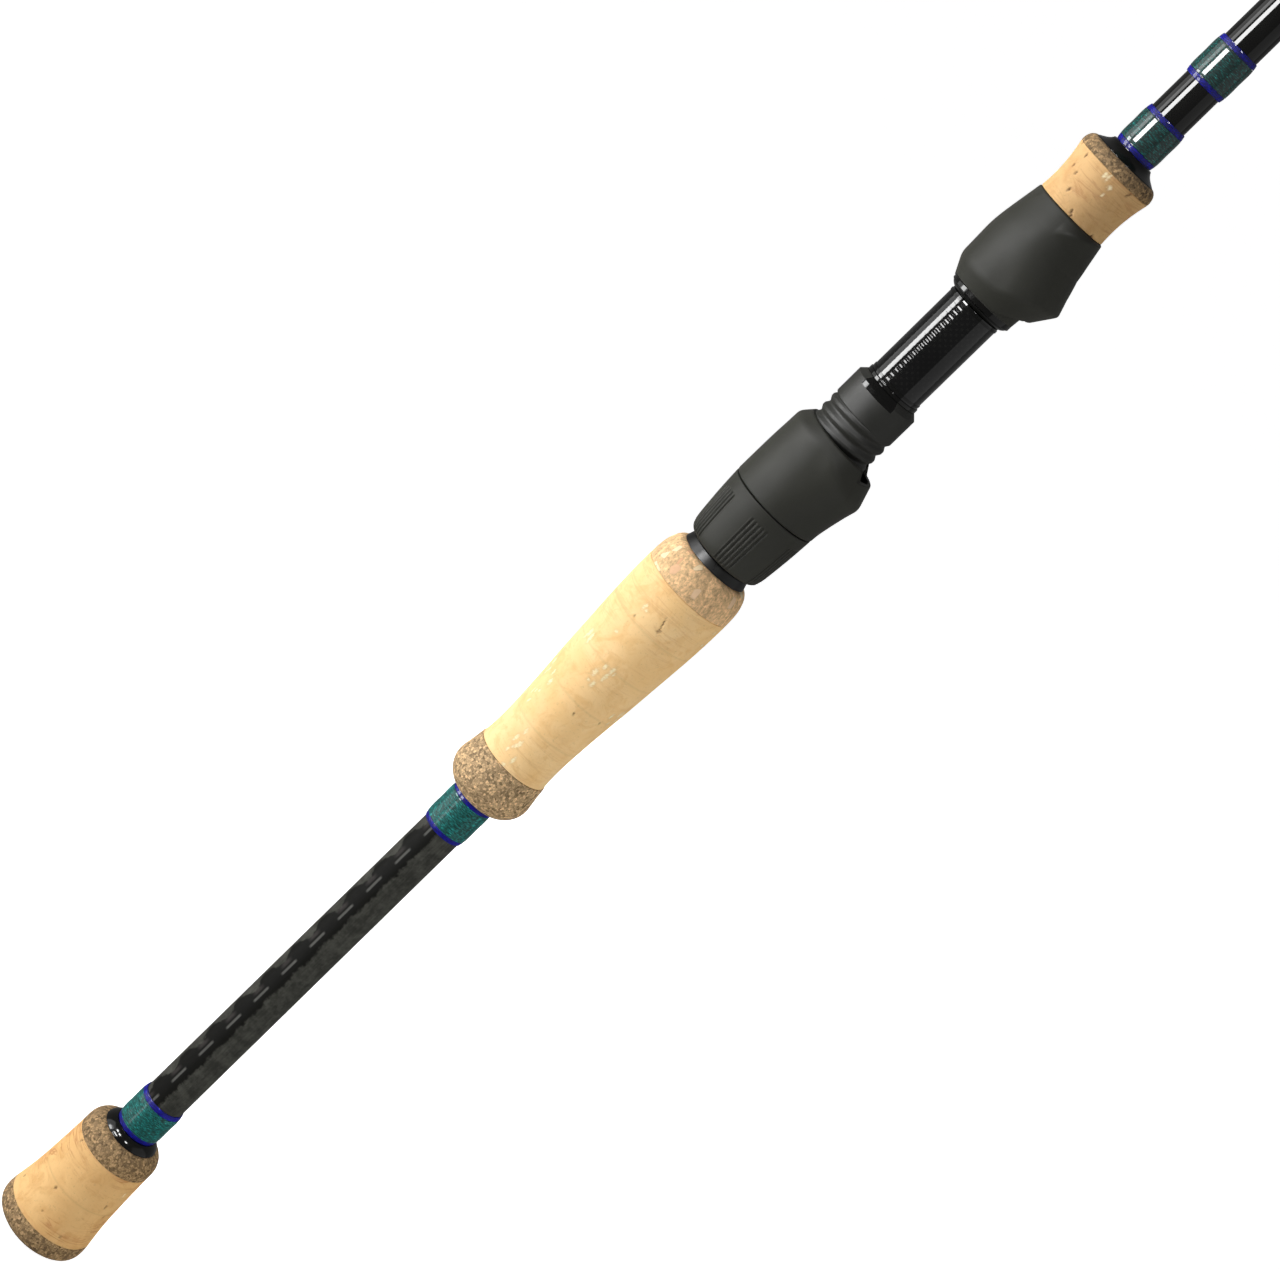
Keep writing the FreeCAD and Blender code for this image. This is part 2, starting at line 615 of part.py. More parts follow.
export("seat_rear_trim_ring", tapered_tube(glued_bore(TRIM_RING_START), TRIM_RING_RADIUS,
                                           TRIM_RING_LIP, TRIM_RING_START, TRIM_RING_END))
export("lock_nut", make_nut())
export("moving_hood", make_moving_hood())
export("seat_barrel", make_barrel())
export("barrel_trim_ring", tube(SLEEVE_RADIUS + GLUE_GAP, BARREL_LIP, BARREL_END + GLUE_GAP,
                                SLEEVE_RING_END))
export("seat_sleeve", tube(SEAT_BORE, SLEEVE_RADIUS, SLEEVE_START, SLEEVE_END))
export("sleeve_trim_bands", make_sleeve_bands())
export("front_hood_trim_ring", tapered_tube(SEAT_BORE, FRONT_TRIM_LIP, FRONT_TRIM_RADIUS,
                                            FRONT_TRIM_START, FRONT_START - GLUE_GAP))
export("front_hood", make_front_hood())
export("seat_arbor_rear", make_arbor(BARREL_START, BARREL_END))
export("seat_arbor_middle", make_arbor(SLEEVE_START, SLEEVE_END))
export("seat_arbor_front", make_arbor(FRONT_START, FRONT_END))

export("fore_grip_cork", turned_on_blank(FORE_CORK_OUTLINE))
export("fore_grip_burl_ring", turned_on_blank(FORE_BURL_OUTLINE))
export("fore_winding_check", turned_on_blank(FORE_CHECK_OUTLINE))

for name, start, end in HANDLE_WRAPS:
    thread, bands = make_wrap(start, end)
    export(name + "_wrap_thread", thread)
    export(name + "_wrap_trim", bands)

for number, (z, size, bore, height) in enumerate(GUIDES, start=1):
    label = "guide_" + str(number)
    export(label + "_frame", make_guide_frame(z, size, height))
    export(label + "_ring", make_ring(size, bore, height, z))
    export(label + "_wraps", make_guide_wraps(z, size))

export("tip_top_frame", make_tip_top_frame())
export("tip_top_ring", make_ring(TIP_RING_SIZE, TIP_RING_BORE, TIP_RING_X, TIP_RING_Z))
export("tip_top_wrap", make_tip_wrap())
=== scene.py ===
import math

import bpy
import numpy as np
from mathutils import Matrix, Vector


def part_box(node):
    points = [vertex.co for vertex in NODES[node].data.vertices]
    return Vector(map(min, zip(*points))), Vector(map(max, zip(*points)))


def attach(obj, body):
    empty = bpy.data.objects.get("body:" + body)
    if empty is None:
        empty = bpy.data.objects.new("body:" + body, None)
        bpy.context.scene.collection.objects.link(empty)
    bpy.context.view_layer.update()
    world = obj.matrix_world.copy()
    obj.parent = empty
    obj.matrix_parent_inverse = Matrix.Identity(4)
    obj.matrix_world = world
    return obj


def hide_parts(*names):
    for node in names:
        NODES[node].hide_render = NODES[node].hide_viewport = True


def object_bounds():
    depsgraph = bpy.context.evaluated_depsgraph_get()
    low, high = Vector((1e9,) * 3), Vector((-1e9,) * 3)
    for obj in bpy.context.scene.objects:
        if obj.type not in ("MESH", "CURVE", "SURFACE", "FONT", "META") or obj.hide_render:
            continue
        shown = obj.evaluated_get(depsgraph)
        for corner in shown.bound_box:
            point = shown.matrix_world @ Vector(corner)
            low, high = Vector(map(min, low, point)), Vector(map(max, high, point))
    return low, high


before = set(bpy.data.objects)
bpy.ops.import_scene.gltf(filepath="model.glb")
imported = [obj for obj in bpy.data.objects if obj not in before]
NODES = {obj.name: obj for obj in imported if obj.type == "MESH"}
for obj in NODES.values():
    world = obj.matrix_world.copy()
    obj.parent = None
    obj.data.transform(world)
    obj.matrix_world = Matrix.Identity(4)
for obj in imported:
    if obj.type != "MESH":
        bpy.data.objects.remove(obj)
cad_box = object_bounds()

MM = 0.001
FULL_TURN = 2 * math.pi

# Camera
FOCAL_MM = 85.78
SENSOR_MM = 36.0
LOOK_AT = Vector((-0.0003, 0.0, 0.2455))
CAMERA_DISTANCE = 0.7871
CAMERA_PITCH = math.radians(15.4)
CAMERA_ROLL = math.radians(45.66)

# Reel seat, in mm. Every z counts from the rear end of the piece's own CAD node. Outlines are rows
# of (z, radius), and saddles and pockets are off-centre circles in rows of (z, radius, centre).
# A bevel is a cone: x and z of its apex, then its lean and half-angle in degrees.
SEAT_BORE = 6.9
HOOD_BORE = 9.95
HOOD_SHELL = [(0.0, 13.1), (6.05, 13.05), (12.05, 12.95), (17.05, 12.75), (24.25, 12.5)]
HOOD_SADDLE = [(0.65, 12.45, 0.45), (6.65, 12.72, 1.32), (10.25, 12.8, 2.0), (14.25, 12.92, 2.92),
               (19.05, 13.15, 3.75), (24.25, 13.4, 4.4)]
HOOD_POCKET = [(8.05, 8.1, 3.9), (14.55, 8.4, 4.7), (25.05, 8.0, 4.1)]
HOOD_BEVEL = (6.1, 43.55, -10.9, 29.2)
HOOD_EDGE = 0.35
HOOD_SADDLE_CREASE = 0.5
HOOD_BEVEL_CREASE = 0.7
HOOD_FRONT_LEAN_DEG = 3.0
# The front face is cut back on the underside, beyond this x
HOOD_MOUTH_X = 9.7
HOOD_MOUTH_DEPTH = 3.6
HOOD_MOUTH_BLEND = 0.5
HOOD_LIP = 0.2
# Bore with the snap groove, from front to rear
HOOD_INSIDE = [(7.95, 9.95), (3.35, 9.95), (3.35, 11.85), (0.95, 11.85), (0.95, 11.15), (0.0, 11.15)]

FRONT_SHELL = [(0.0, 12.2), (9.7, 12.45), (15.7, 12.6), (21.2, 12.4), (25.7, 11.6), (31.0, 10.6)]
FRONT_SADDLE = [(0.0, 13.0, 4.6), (5.7, 12.95, 3.75), (11.2, 12.95, 2.95), (15.7, 12.88, 1.48),
                (20.7, 12.45, 0.35), (25.7, 11.58, 0.18), (31.0, 10.6, 0.0)]
FRONT_POCKET = [(-0.8, 8.8, 3.1), (9.7, 8.5, 3.2), (16.7, 8.2, 2.7)]
FRONT_BULGE = [(4.7, 0.0), (16.7, 0.35), (25.7, 0.95), (31.0, 1.9)]
FRONT_BEVEL = (-1.66, -14.8, 3.25, 30.65)
FRONT_SADDLE_CREASE = 0.5
FRONT_NOSE_CREASE = 0.45
FRONT_BEVEL_CREASE = 0.6
# Radius lost per mm of length on the way to the nose: at the sides, and its change to top and underside
FRONT_NOSE_SLOPE = 0.40
FRONT_TOP_CHANGE = 0.25
FRONT_UNDER_CHANGE = 1.1
FRONT_MOUTH_X = 10.4
FRONT_MOUTH_END = 5.29
FRONT_NECK = 9.5
FRONT_WALL = 0.3
FRONT_CHAMFER = 0.15
FRONT_NOSE_EDGE = 0.3
FRONT_SEARCH = 14.0
FRONT_GLOSS_LIP = 1.5

BARREL_ROOT = 9.0
BARREL_CREST = 9.65
BARREL_LIP = 8.1
BARREL_CHAMFER = 1.55
KEYWAY_FLOOR = 8.6
KEYWAY_WIDTH = 5.0
COLLAR_START = 51.3
COLLAR_BLEND = 0.5
THREAD_START = 3.18
THREAD_PITCH = 3.2
# Shares of a pitch: half the foot of a crest, and one flank
THREAD_FOOT = 0.44
THREAD_FLANK = 0.32
THREAD_SPAN_DEG = 162
THREAD_RUN_OUT = 0.06
# Glossy inlays at the collar's front edge: rear end, and their span in degrees on either side
INLAY_START = 57.7
INLAY_SIDE_DEG = (66, 133)

NUT_SKIRT = [(0.0, 10.6), (0.9, 11.3), (2.7, 11.8), (5.2, 12.1), (9.0, 12.45), (13.0, 12.75),
             (18.65, 13.05)]
NUT_CELL = 0.16
NUT_EDGE = 0.3
NUT_GROUPS = 6
NUT_GROOVES = 5
NUT_STEP_DEG = 5.6
NUT_FIRST_DEG = 36.0
NUT_GROOVE_DEPTH = 0.34
NUT_RIB_HEIGHT = 0.05
NUT_GROOVE_START = 0.1
NUT_GROOVE_END = 15.2
# Neck with the snap bead and the bore, from the skirt's front face round to its rear
NUT_INSIDE = [(18.65, 10.85), (20.2, 10.85), (20.3, 11.5), (21.1, 11.5), (21.2, 10.85), (22.0, 10.85),
              (22.0, 9.9), (0.0, 9.9)]

# Eyes of the wound carbon, painted reflection: dark eyes and grey dashes that are a painted highlight.
# In radians round the rod from its front: dash row, lower edge, upper edge and how far the dark lobes
# between the dashes swing. Then, in mm, the pitch along the rod and how far the first centre is in front of
# the butt wrap.
EYE_HIGHLIGHT_ROW = -0.385
EYE_LOWER = 0.08
EYE_UPPER = -1.02
EYE_LOBE = 0.24
EYE_SLANT = 0.19
EYE_PITCH = 11.35
EYE_OFFSET = 10.9

# Finishes: holes in a burl ring, colours of the marks in cork, specular levels, and pitches in mm
BURL_HOLES = 110
FLECK_COLOR = (0.95, 0.82, 0.52)
PIT_COLOR = (0.16, 0.075, 0.03)
CORK_SPECULAR = 0.2
GLOSS_SPECULAR = 0.32
WEAVE_AROUND = 24.0
WEAVE_PITCH = 1.9
RIPPLE_PITCH = 1.5
THREAD_TURN = 0.26

# Studio. Broad boxes only light: name, azimuth, distance, height, width, length, radiance.
BROAD_BOXES = [("left_box", -72, 0.75, 0.30, 0.65, 0.95, 5.6), ("right_box", 52, 0.40, 0.10, 0.25, 0.25, 5.0),
               ("back_box", 180, 0.75, 0.45, 0.9, 0.9, 1.8)]
# Strips only show in reflections, as a soft sheen or a line on lacquer: the same without the distance.
STRIPS = [("left_sheen", -85, 0.25, 0.50, 1.1, 1.5), ("right_sheen", 78, 0.30, 0.80, 1.2, 0.35),
          ("upper_strip", -41, 0.44, 0.26, 0.20, 34), ("middle_strip", -71.5, 0.2, 0.22, 0.30, 18),
          ("blank_strip", -71.5, 0.46, 0.22, 0.18, 4), ("bead_strip", -42, 0.13, 0.20, 0.10, 24),
          ("lower_strip", -44, -0.20, 0.14, 0.44, 3)]
STRIP_DISTANCE = 0.7
# Small lamps that show as dots on the butt check: azimuth and height
DOTS = [(-60, 0.80), (-36, 0.82), (14, 0.76)]
DOT_DISTANCE = 0.55
DOT_SIZE = 0.12
DOT_RADIANCE = 50
DOT_TARGET = (0, 0, 0.05)
WORLD_LIGHT = 0.18
WORLD_SEEN = 1.05
FLOOR_HALF = 30.0
FLOOR_GLOW = 0.85

# Mesh density: counts of rings and of points round them, and cell sizes
HOOD_AROUND = 288
HOOD_RINGS = 90
FACE_ROUNDS = 24
HOOD_POCKET_RINGS = 24
FRONT_RINGS = 120
FRONT_GATHER = 1.15
FRONT_TRIES = 281
FRONT_POCKET_RINGS = 20
NUT_AROUND = 1080
BARREL_AROUND = 240
BLANK_AROUND = 72
BLANK_CELL = 4 * MM
BLANK_BORE = 0.6
CORK_CELL = 0.30 * MM
CORK_EDGE = 0.25 * MM
RING_CELL = 0.5 * MM
PLAIN_CELL = 0.8 * MM
EDGE_STEPS = 5
PINHOLE = 0.3 * MM
CREASE_DEG = 40


# ---------------------------------------------------------------- shapes


def outline(node):
    """Outer radius of a turned CAD node along the rod: arrays z and r."""
    mesh = NODES[node].data
    outside = set()
    for face in mesh.polygons:
        if face.normal.xy.dot(face.center.xy.normalized()) > 0.05:
            outside.update(face.vertices)
    points = np.array([mesh.vertices[i].co[:] for i in outside])
    z = np.round(points[:, 2], 5)
    r = np.hypot(points[:, 0], points[:, 1])
    levels = np.unique(z)
    return levels, np.array([r[z == level].max() for level in levels])


def hermite(z_known, r_known, z):
    """Smooth curve through the known points."""
    rise = np.diff(r_known) / np.diff(z_known)
    low, high = np.concatenate([rise[:1], rise]), np.concatenate([rise, rise[-1:]])
    steady = low * high > 0
    slopes = np.where(steady, 2 * low * high / np.where(steady, low + high, 1), 0)
    i = np.clip(np.searchsorted(z_known, z) - 1, 0, len(z_known) - 2)
    span = z_known[i + 1] - z_known[i]
    t = (z - z_known[i]) / span
    return ((2 * t**3 - 3 * t**2 + 1) * r_known[i] + (t**3 - 2 * t**2 + t) * span * slopes[i]
            + (3 * t**2 - 2 * t**3) * r_known[i + 1] + (t**3 - t**2) * span * slopes[i + 1])


def circle(count):
    return np.arange(count) * FULL_TURN / count


def stations(start, end, step, edge):
    """Places along the rod: even steps, and closer ones on the rounded ends."""
    arc = edge * (1 - np.cos(np.linspace(0, math.pi / 2, EDGE_STEPS)))
    middle = np.linspace(start + edge, end - edge, max(int((end - start) / step), 2))
    return np.concatenate([start + arc[:-1], middle, (end - arc[:-1])[::-1]])


def rounded(z, r, edge):
    """Takes a quarter round of radius edge off both ends of the outline."""
    depth = np.clip(edge - np.minimum(z - z[0], z[-1] - z), 0, edge)
    return r - (edge - np.sqrt(edge**2 - depth**2))


def add_mesh(name, points, faces, body="rod"):
    mesh = bpy.data.meshes.new(name)
    mesh.from_pydata([tuple(p) for p in points], [], faces)
    mesh.validate()
    mesh.polygons.foreach_set("use_smooth", [True] * len(mesh.polygons))
    mesh.set_sharp_from_angle(angle=math.radians(CREASE_DEG))
    piece = bpy.data.objects.new(name, mesh)
    bpy.context.scene.collection.objects.link(piece)
    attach(piece, body)
    return piece


def loop_faces(rings, around):
    """Quads that join closed rings of points into a closed band."""
    faces = []
    for k in range(rings):
        lower, upper = k * around, (k + 1) % rings * around
        for j in range(around):
            side = (j + 1) % around
            faces.append((lower + j, lower + side, upper + side, upper + j))
    return faces


def turned(name, z, outer, bore, cell=PLAIN_CELL, around=0, relief=None):
    """Closed ring of revolution. outer is the radius at each z, and bore one radius or one per end."""
    around = around or max(48, int(FULL_TURN * np.max(outer) / cell))
    angle = circle(around)
    radius = np.repeat(np.asarray(outer)[:, None], around, 1)
    fields = {}
    if relief:
        depth, fields = relief(angle, z, radius)
        radius -= depth
    bore_r = np.interp([z[-1], z[0]], [z[0], z[-1]], bore if np.ndim(bore) else (bore, bore))
    rings_r = np.vstack([radius, np.full((1, around), bore_r[0]), np.full((1, around), bore_r[1])])
    rings_z = np.concatenate([z, [z[-1], z[0]]])
    points = np.stack([rings_r * np.cos(angle), rings_r * np.sin(angle),
                       np.repeat(rings_z[:, None], around, 1)], axis=-1).reshape(-1, 3)
    piece = add_mesh(name, points, loop_faces(len(rings_z), around))
    for label, values in fields.items():
        data = np.zeros(len(points), dtype=np.float32)
        data[:values.size] = values.ravel()
        piece.data.attributes.new(label, "FLOAT", "POINT").data.foreach_set("value", data)
    return piece


def inner_radius(node):
    """Radius of the CAD node's own bore at its rear end, or a pinhole where it has none."""
    mesh = NODES[node].data
    rear = min(v.co.z for v in mesh.vertices)
    radii = [v.co.xy.length for v in mesh.vertices if v.co.z < rear + 0.01 * MM]
    return max(min(radii), PINHOLE)


def turned_node(name, node, edge=0.12 * MM, step=PLAIN_CELL, **options):
    """A turned piece with the outline of a CAD node and rounded ends."""
    z_known, r_known = outline(node)
    z = stations(z_known[0], z_known[-1], step, edge)
    bore = inner_radius(node)
    piece = turned(name, z, rounded(z, hermite(z_known, r_known, z), edge), bore, **options)
    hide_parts(node)
    return piece


# ---------------------------------------------------------------- seat shapes


def smooth_min(a, b, blend):
    """The smaller of the two, with a soft crease of the given size."""
    share = np.clip(0.5 + 0.5 * (b - a) / blend, 0, 1)
    return b + (a - b) * share - blend * share * (1 - share)


def smooth_max(a, b, blend):
    return -smooth_min(-a, -b, blend)


def smooth_step(share):
    share = np.clip(share, 0, 1)
    return share * share * (3 - 2 * share)


def along(rows, rear):
    """Rows of (z, ...) in mm from the rear end of a piece, as a table in metres along the rod."""
    table = np.array(rows) * MM
    table[:, 0] += rear
    return table


def offset_circle(table, z, cos, sin):
    """Distance from the rod's axis to a circle that sits off centre: a table of z, radius, centre."""
    radius = hermite(table[:, 0], table[:, 1], np.clip(z, table[0, 0], table[-1, 0]))
    centre = np.interp(z, table[:, 0], table[:, 2])
    return centre * cos + np.sqrt(np.maximum(radius**2 - (centre * sin) ** 2, 1e-9))


def cone_reach(bevel, rear, direction, z, cos):
    """Distance from the rod's axis to a bevel cone that opens in the given direction of z."""
    apex_x, apex_z, lean, half = bevel
    ax, az = apex_x * MM, rear + apex_z * MM
    dx, dz = math.sin(math.radians(lean)), direction * math.cos(math.radians(lean))
    spread = math.cos(math.radians(half)) ** 2
    along_axis = -ax * dx + (z - az) * dz
    a = (cos * dx) ** 2 - spread
    b = 2 * cos * dx * along_axis + 2 * spread * cos * ax
    c = along_axis**2 - spread * (ax**2 + (z - az) ** 2)
    return (-b - np.sqrt(np.maximum(b * b - 4 * a * c, 0))) / (2 * a)


def lathe_rings(name, rings, node, body):
    """Closed band through rings of (radius, z), both arrays over the angle."""
    around = len(rings[0][0])
    angle = circle(around)
    points = [np.stack([r * np.cos(angle), r * np.sin(angle), z], axis=-1) for r, z in rings]
    piece = add_mesh(name, np.concatenate(points), loop_faces(len(rings), around), body)
    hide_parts(node)
    return piece


def gloss_faces(piece, chosen):
    """Gives gloss black to the faces whose centre passes the test."""
    piece.data.materials.append(GLOSS_BLACK)
    for face in piece.data.polygons:
        face.material_index = int(chosen(*face.center))


def hood_outside(reach, rear, front, edge):
    """Outer rings from the rear face to the front face, both rounded off."""
    insets = (edge * (1 - np.cos(np.linspace(0, math.pi / 2, EDGE_STEPS))))[:-1]
    drops = edge - np.sqrt(edge**2 - (edge - insets) ** 2)
    corner = list(zip(insets, drops))
    rings = [(reach(rear + inset) - drop, rear + inset) for inset, drop in corner]
    for t in np.linspace(0, 1, HOOD_RINGS):
        z = (rear + edge) * (1 - t) + (front - edge) * t
        rings.append((reach(z), z))
    return rings + [(reach(front - inset) - drop, front - inset) for inset, drop in corner[::-1]]


def build_moving_hood():
    """Clamping hood: a shell with a saddle over the reel foot, bevelled all round its front."""
    angle = circle(HOOD_AROUND)
    cos, sin = np.cos(angle), np.sin(angle)
    low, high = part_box("moving_hood")
    rear, end = low[2], high[2]
    shell_z, shell_r = along(HOOD_SHELL, rear).T
    saddle, pocket = along(HOOD_SADDLE, rear), along(HOOD_POCKET, rear)
    bore = np.full(HOOD_AROUND, HOOD_BORE * MM)
    lean = math.tan(math.radians(HOOD_FRONT_LEAN_DEG))

    def reach(z):
        shell = hermite(shell_z, shell_r, np.clip(z, shell_z[0], shell_z[-1]))
        body = smooth_max(shell, offset_circle(saddle, z, cos, sin), HOOD_SADDLE_CREASE * MM)
        return smooth_min(body, cone_reach(HOOD_BEVEL, rear, -1, z, cos), HOOD_BEVEL_CREASE * MM)

    def face(radius):
        x = radius * cos
        plain = np.minimum(end, end - (x + HOOD_BORE * MM) * lean)
        cut = smooth_step((x - HOOD_MOUTH_X * MM) / (HOOD_MOUTH_BLEND * MM) + 0.5)
        return plain + (np.minimum(plain, end - HOOD_MOUTH_DEPTH * MM) - plain) * cut

    def hollow(z):
        return np.maximum(bore, offset_circle(pocket, z, cos, sin) * (z > pocket[0, 0]))

    # The front face leans, so its z and the radius there are found together.
    front = np.full(HOOD_AROUND, end)
    for _ in range(FACE_ROUNDS):
        front = 0.5 * (front + face(reach(front)))
    rings = hood_outside(reach, np.full(HOOD_AROUND, rear), front, HOOD_EDGE * MM)
    inner = hollow(face(bore))
    rings.append((inner + HOOD_LIP * MM, face(inner + HOOD_LIP * MM)))
    mouth = face(inner) - HOOD_LIP * MM
    for t in np.linspace(0, 1, HOOD_POCKET_RINGS):
        z = mouth * (1 - t) + (pocket[0, 0] + 0.01 * MM) * t
        rings.append((hollow(z), z))
    rings += [(np.full(HOOD_AROUND, r), np.full(HOOD_AROUND, z)) for z, r in along(HOOD_INSIDE, rear)]
    piece = lathe_rings("moving_hood_shell", rings, "moving_hood", "hood")
    dress(piece, SOFT_BLACK, "soft_black")


def shell_start(reach, hollow, cos, rear):
    """Where the front hood's shell starts at each angle: its wall is clear of neck and pocket there."""
    wall = FRONT_WALL * MM
    tries = np.linspace(rear, rear + FRONT_SEARCH * MM, FRONT_TRIES)
    clear = np.array([reach(z + 0 * cos) - hollow(z + 0 * cos) - wall for z in tries])
    kept = (hollow(rear + 0 * cos) + wall) * cos < FRONT_MOUTH_X * MM
    beyond = tries[:, None] > rear + FRONT_MOUTH_END * MM
    clear = np.where(kept[None, :] | beyond, clear, np.minimum(clear, -wall))
    first = np.argmax(clear >= 0, axis=0)
    before = np.maximum(first - 1, 0)
    column = np.arange(len(cos))
    short, past = clear[before, column], clear[first, column]
    part = np.where(first > 0, -short / np.maximum(past - short, 1e-9), 0)
    return tries[before] + part * (tries[first] - tries[before])


def build_front_hood():
    """Fixed hood: a full saddle body whose nose is cut back towards the fore grip."""
    angle = circle(HOOD_AROUND)
    cos, sin = np.cos(angle), np.sin(angle)
    low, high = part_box("front_hood")
    rear, end = low[2], high[2]
    shell_z, shell_r = along(FRONT_SHELL, rear).T
    bulge_z, bulge_r = along(FRONT_BULGE, rear).T
    saddle, pocket = along(FRONT_SADDLE, rear), along(FRONT_POCKET, rear)
    slope = FRONT_NOSE_SLOPE + np.where(cos < 0, FRONT_TOP_CHANGE, FRONT_UNDER_CHANGE) * cos
    neck = np.full(HOOD_AROUND, FRONT_NECK * MM)

    def reach(z):
        shell = hermite(shell_z, shell_r, np.clip(z, shell_z[0], shell_z[-1]))
        body = offset_circle(saddle, z, cos, sin) + np.interp(z, bulge_z, bulge_r) * sin**2
        body = smooth_max(shell, body, FRONT_SADDLE_CREASE * MM)
        body = smooth_min(body, shell_r[-1] + slope * (end - z), FRONT_NOSE_CREASE * MM)
        return smooth_min(body, cone_reach(FRONT_BEVEL, rear, 1, z, cos), FRONT_BEVEL_CREASE * MM)

    def hollow(z):
        return np.maximum(offset_circle(pocket, z, cos, sin), neck)

    mouth = shell_start(reach, hollow, cos, rear)
    front, back = np.full(HOOD_AROUND, end), np.full(HOOD_AROUND, rear)
    rings = [(reach(mouth), mouth)]
    for t in np.linspace(0, 1, FRONT_RINGS) ** FRONT_GATHER:
        z = (mouth + 0.1 * MM) * (1 - t) + (front - FRONT_NOSE_EDGE * MM) * t
        rings.append((reach(z), z))
    rings.append((reach(front) - FRONT_NOSE_EDGE * MM, front))
    bore, chamfer = np.full(HOOD_AROUND, SEAT_BORE * MM), FRONT_CHAMFER * MM
    lip = rear + FRONT_GLOSS_LIP * MM
    rings += [(bore, front), (bore, back), (neck - chamfer, back), (neck, back + chamfer)]
    rings.append((neck, np.clip(mouth, rear + chamfer, lip)))
    open_share = smooth_step((offset_circle(pocket, mouth, cos, sin) - neck) / (1.0 * MM))
    pocket_end = mouth + (pocket[-1, 0] - mouth) * open_share
    for t in np.linspace(1, 0, FRONT_POCKET_RINGS):
        z = mouth + (pocket_end - mouth) * t
        rings.append((hollow(z), z))
    piece = lathe_rings("front_hood_shell", rings, "front_hood", "rod")
    dress(piece, SOFT_BLACK, "soft_black")
    gloss_faces(piece, lambda x, y, z: z < lip)


def thread_radius(z, angle, rear):
    """Thread with rounded crests, which breaks off at either side of the keyway."""
    root, crest = BARREL_ROOT * MM, BARREL_CREST * MM
    wound = (angle - math.pi / 2) % FULL_TURN - 1.5 * math.pi
    turn = (z[:, None] - rear - THREAD_START * MM) / (THREAD_PITCH * MM) - wound[None, :] / FULL_TURN
    from_crest = np.abs((turn + 0.5) % 1 - 0.5)
    rise = np.clip((THREAD_FOOT - from_crest) / THREAD_FLANK, 0, 1)
    starts = np.clip((turn + 0.6) / 0.1, 0, 1)
    inside = math.radians(THREAD_SPAN_DEG) - np.abs(wound + math.pi / 2)
    return root + (crest - root) * rise * starts * np.clip(inside / THREAD_RUN_OUT, 0, 1)[None, :]


def build_barrel():
    """Threaded barrel with a keyway at the back and a smooth collar with glossy inlays."""
    angle = circle(BARREL_AROUND)
    low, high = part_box("seat_barrel")
    rear, front = low[2], high[2]
    root, crest = BARREL_ROOT * MM, BARREL_CREST * MM
    collar, chamfer = rear + COLLAR_START * MM, front - BARREL_CHAMFER * MM
    z = np.concatenate([np.linspace(rear, collar + 0.6 * MM, 340),
                        np.linspace(collar + 0.8 * MM, chamfer - 0.1 * MM, 24),
                        np.linspace(chamfer, front, 8)])
    blend = np.clip((z - collar) / (COLLAR_BLEND * MM) + 1, 0, 1)[:, None]
    radius = np.maximum(thread_radius(z, angle, rear), root + (crest - root) * blend)
    radius = np.minimum(radius, np.interp(z, [chamfer, front], [crest, BARREL_LIP * MM])[:, None])
    in_keyway = (np.sin(angle) > 0) & (np.abs(radius * np.cos(angle)) < KEYWAY_WIDTH / 2 * MM)
    floor = KEYWAY_FLOOR * MM / np.maximum(np.sin(angle), 0.1)
    radius = np.where(in_keyway, np.minimum(radius, floor), radius)
    plain = np.ones(BARREL_AROUND)
    rings = [(ring, plain * height) for ring, height in zip(radius, z)]
    rings += [(plain * SEAT_BORE * MM, plain * height) for height in (front, rear)]
    piece = lathe_rings("seat_barrel_thread", rings, "seat_barrel", "rod")
    dress(piece, BARREL_BLACK, "soft_black")
    inlay = rear + INLAY_START * MM
    start, end = (math.radians(side) for side in INLAY_SIDE_DEG)
    gloss_faces(piece, lambda x, y, height: height > inlay and start < abs(math.atan2(y, x)) < end)


def build_nut():
    """Lock nut: a tapered skirt with groups of rounded grip grooves and ribs between them."""
    angle = circle(NUT_AROUND)
    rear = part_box("lock_nut")[0][2]
    z_known, r_known = along(NUT_SKIRT, rear).T
    z = stations(z_known[0], z_known[-1], NUT_CELL * MM, NUT_EDGE * MM)
    skirt = rounded(z, hermite(z_known, r_known, z), NUT_EDGE * MM)
    group = FULL_TURN / NUT_GROUPS
    offset = (angle - math.radians(NUT_FIRST_DEG) + group / 2) % group - group / 2
    place = offset / math.radians(NUT_STEP_DEG)
    inside = np.clip((NUT_GROOVES / 2 + 0.15 - np.abs(place)) / 0.15, 0, 1)
    wave = 0.5 + 0.5 * np.cos(FULL_TURN * (place - (NUT_GROOVES - 1) / 2))
    from_rear = np.clip((z - rear - NUT_GROOVE_START * MM) / (0.8 * MM), 0, 1)
    from_end = np.clip((rear + NUT_GROOVE_END * MM - z) / (0.7 * MM), 0, 1)
    ends = np.sqrt(from_rear * from_end)[:, None]
    groove = ends * (inside * wave**2)[None, :] * NUT_GROOVE_DEPTH * MM
    rib = ends * (inside * (1 - wave) ** 2)[None, :] * NUT_RIB_HEIGHT * MM
    radius = skirt[:, None] - groove + rib
    plain = np.ones(NUT_AROUND)
    rings = [(ring, plain * height) for ring, height in zip(radius, z)]
    rings += [(plain * r, plain * height) for height, r in along(NUT_INSIDE, rear)]
    piece = lathe_rings("lock_nut_body", rings, "lock_nut", "nut")
    dress(piece, SOFT_BLACK, "soft_black")


# ---------------------------------------------------------------- materials


def tone(color, share):
    """The colour times a share, or times a share for each channel."""
    shares = (share,) * 3 if np.isscalar(share) else share
    return tuple(c * k for c, k in zip(color, shares))


def sock(tree, value, target):
    """Links a socket, or sets a plain value."""
    if isinstance(value, bpy.types.NodeSocket):
        tree.links.new(value, target)
    elif value is not None:
        target.default_value = value


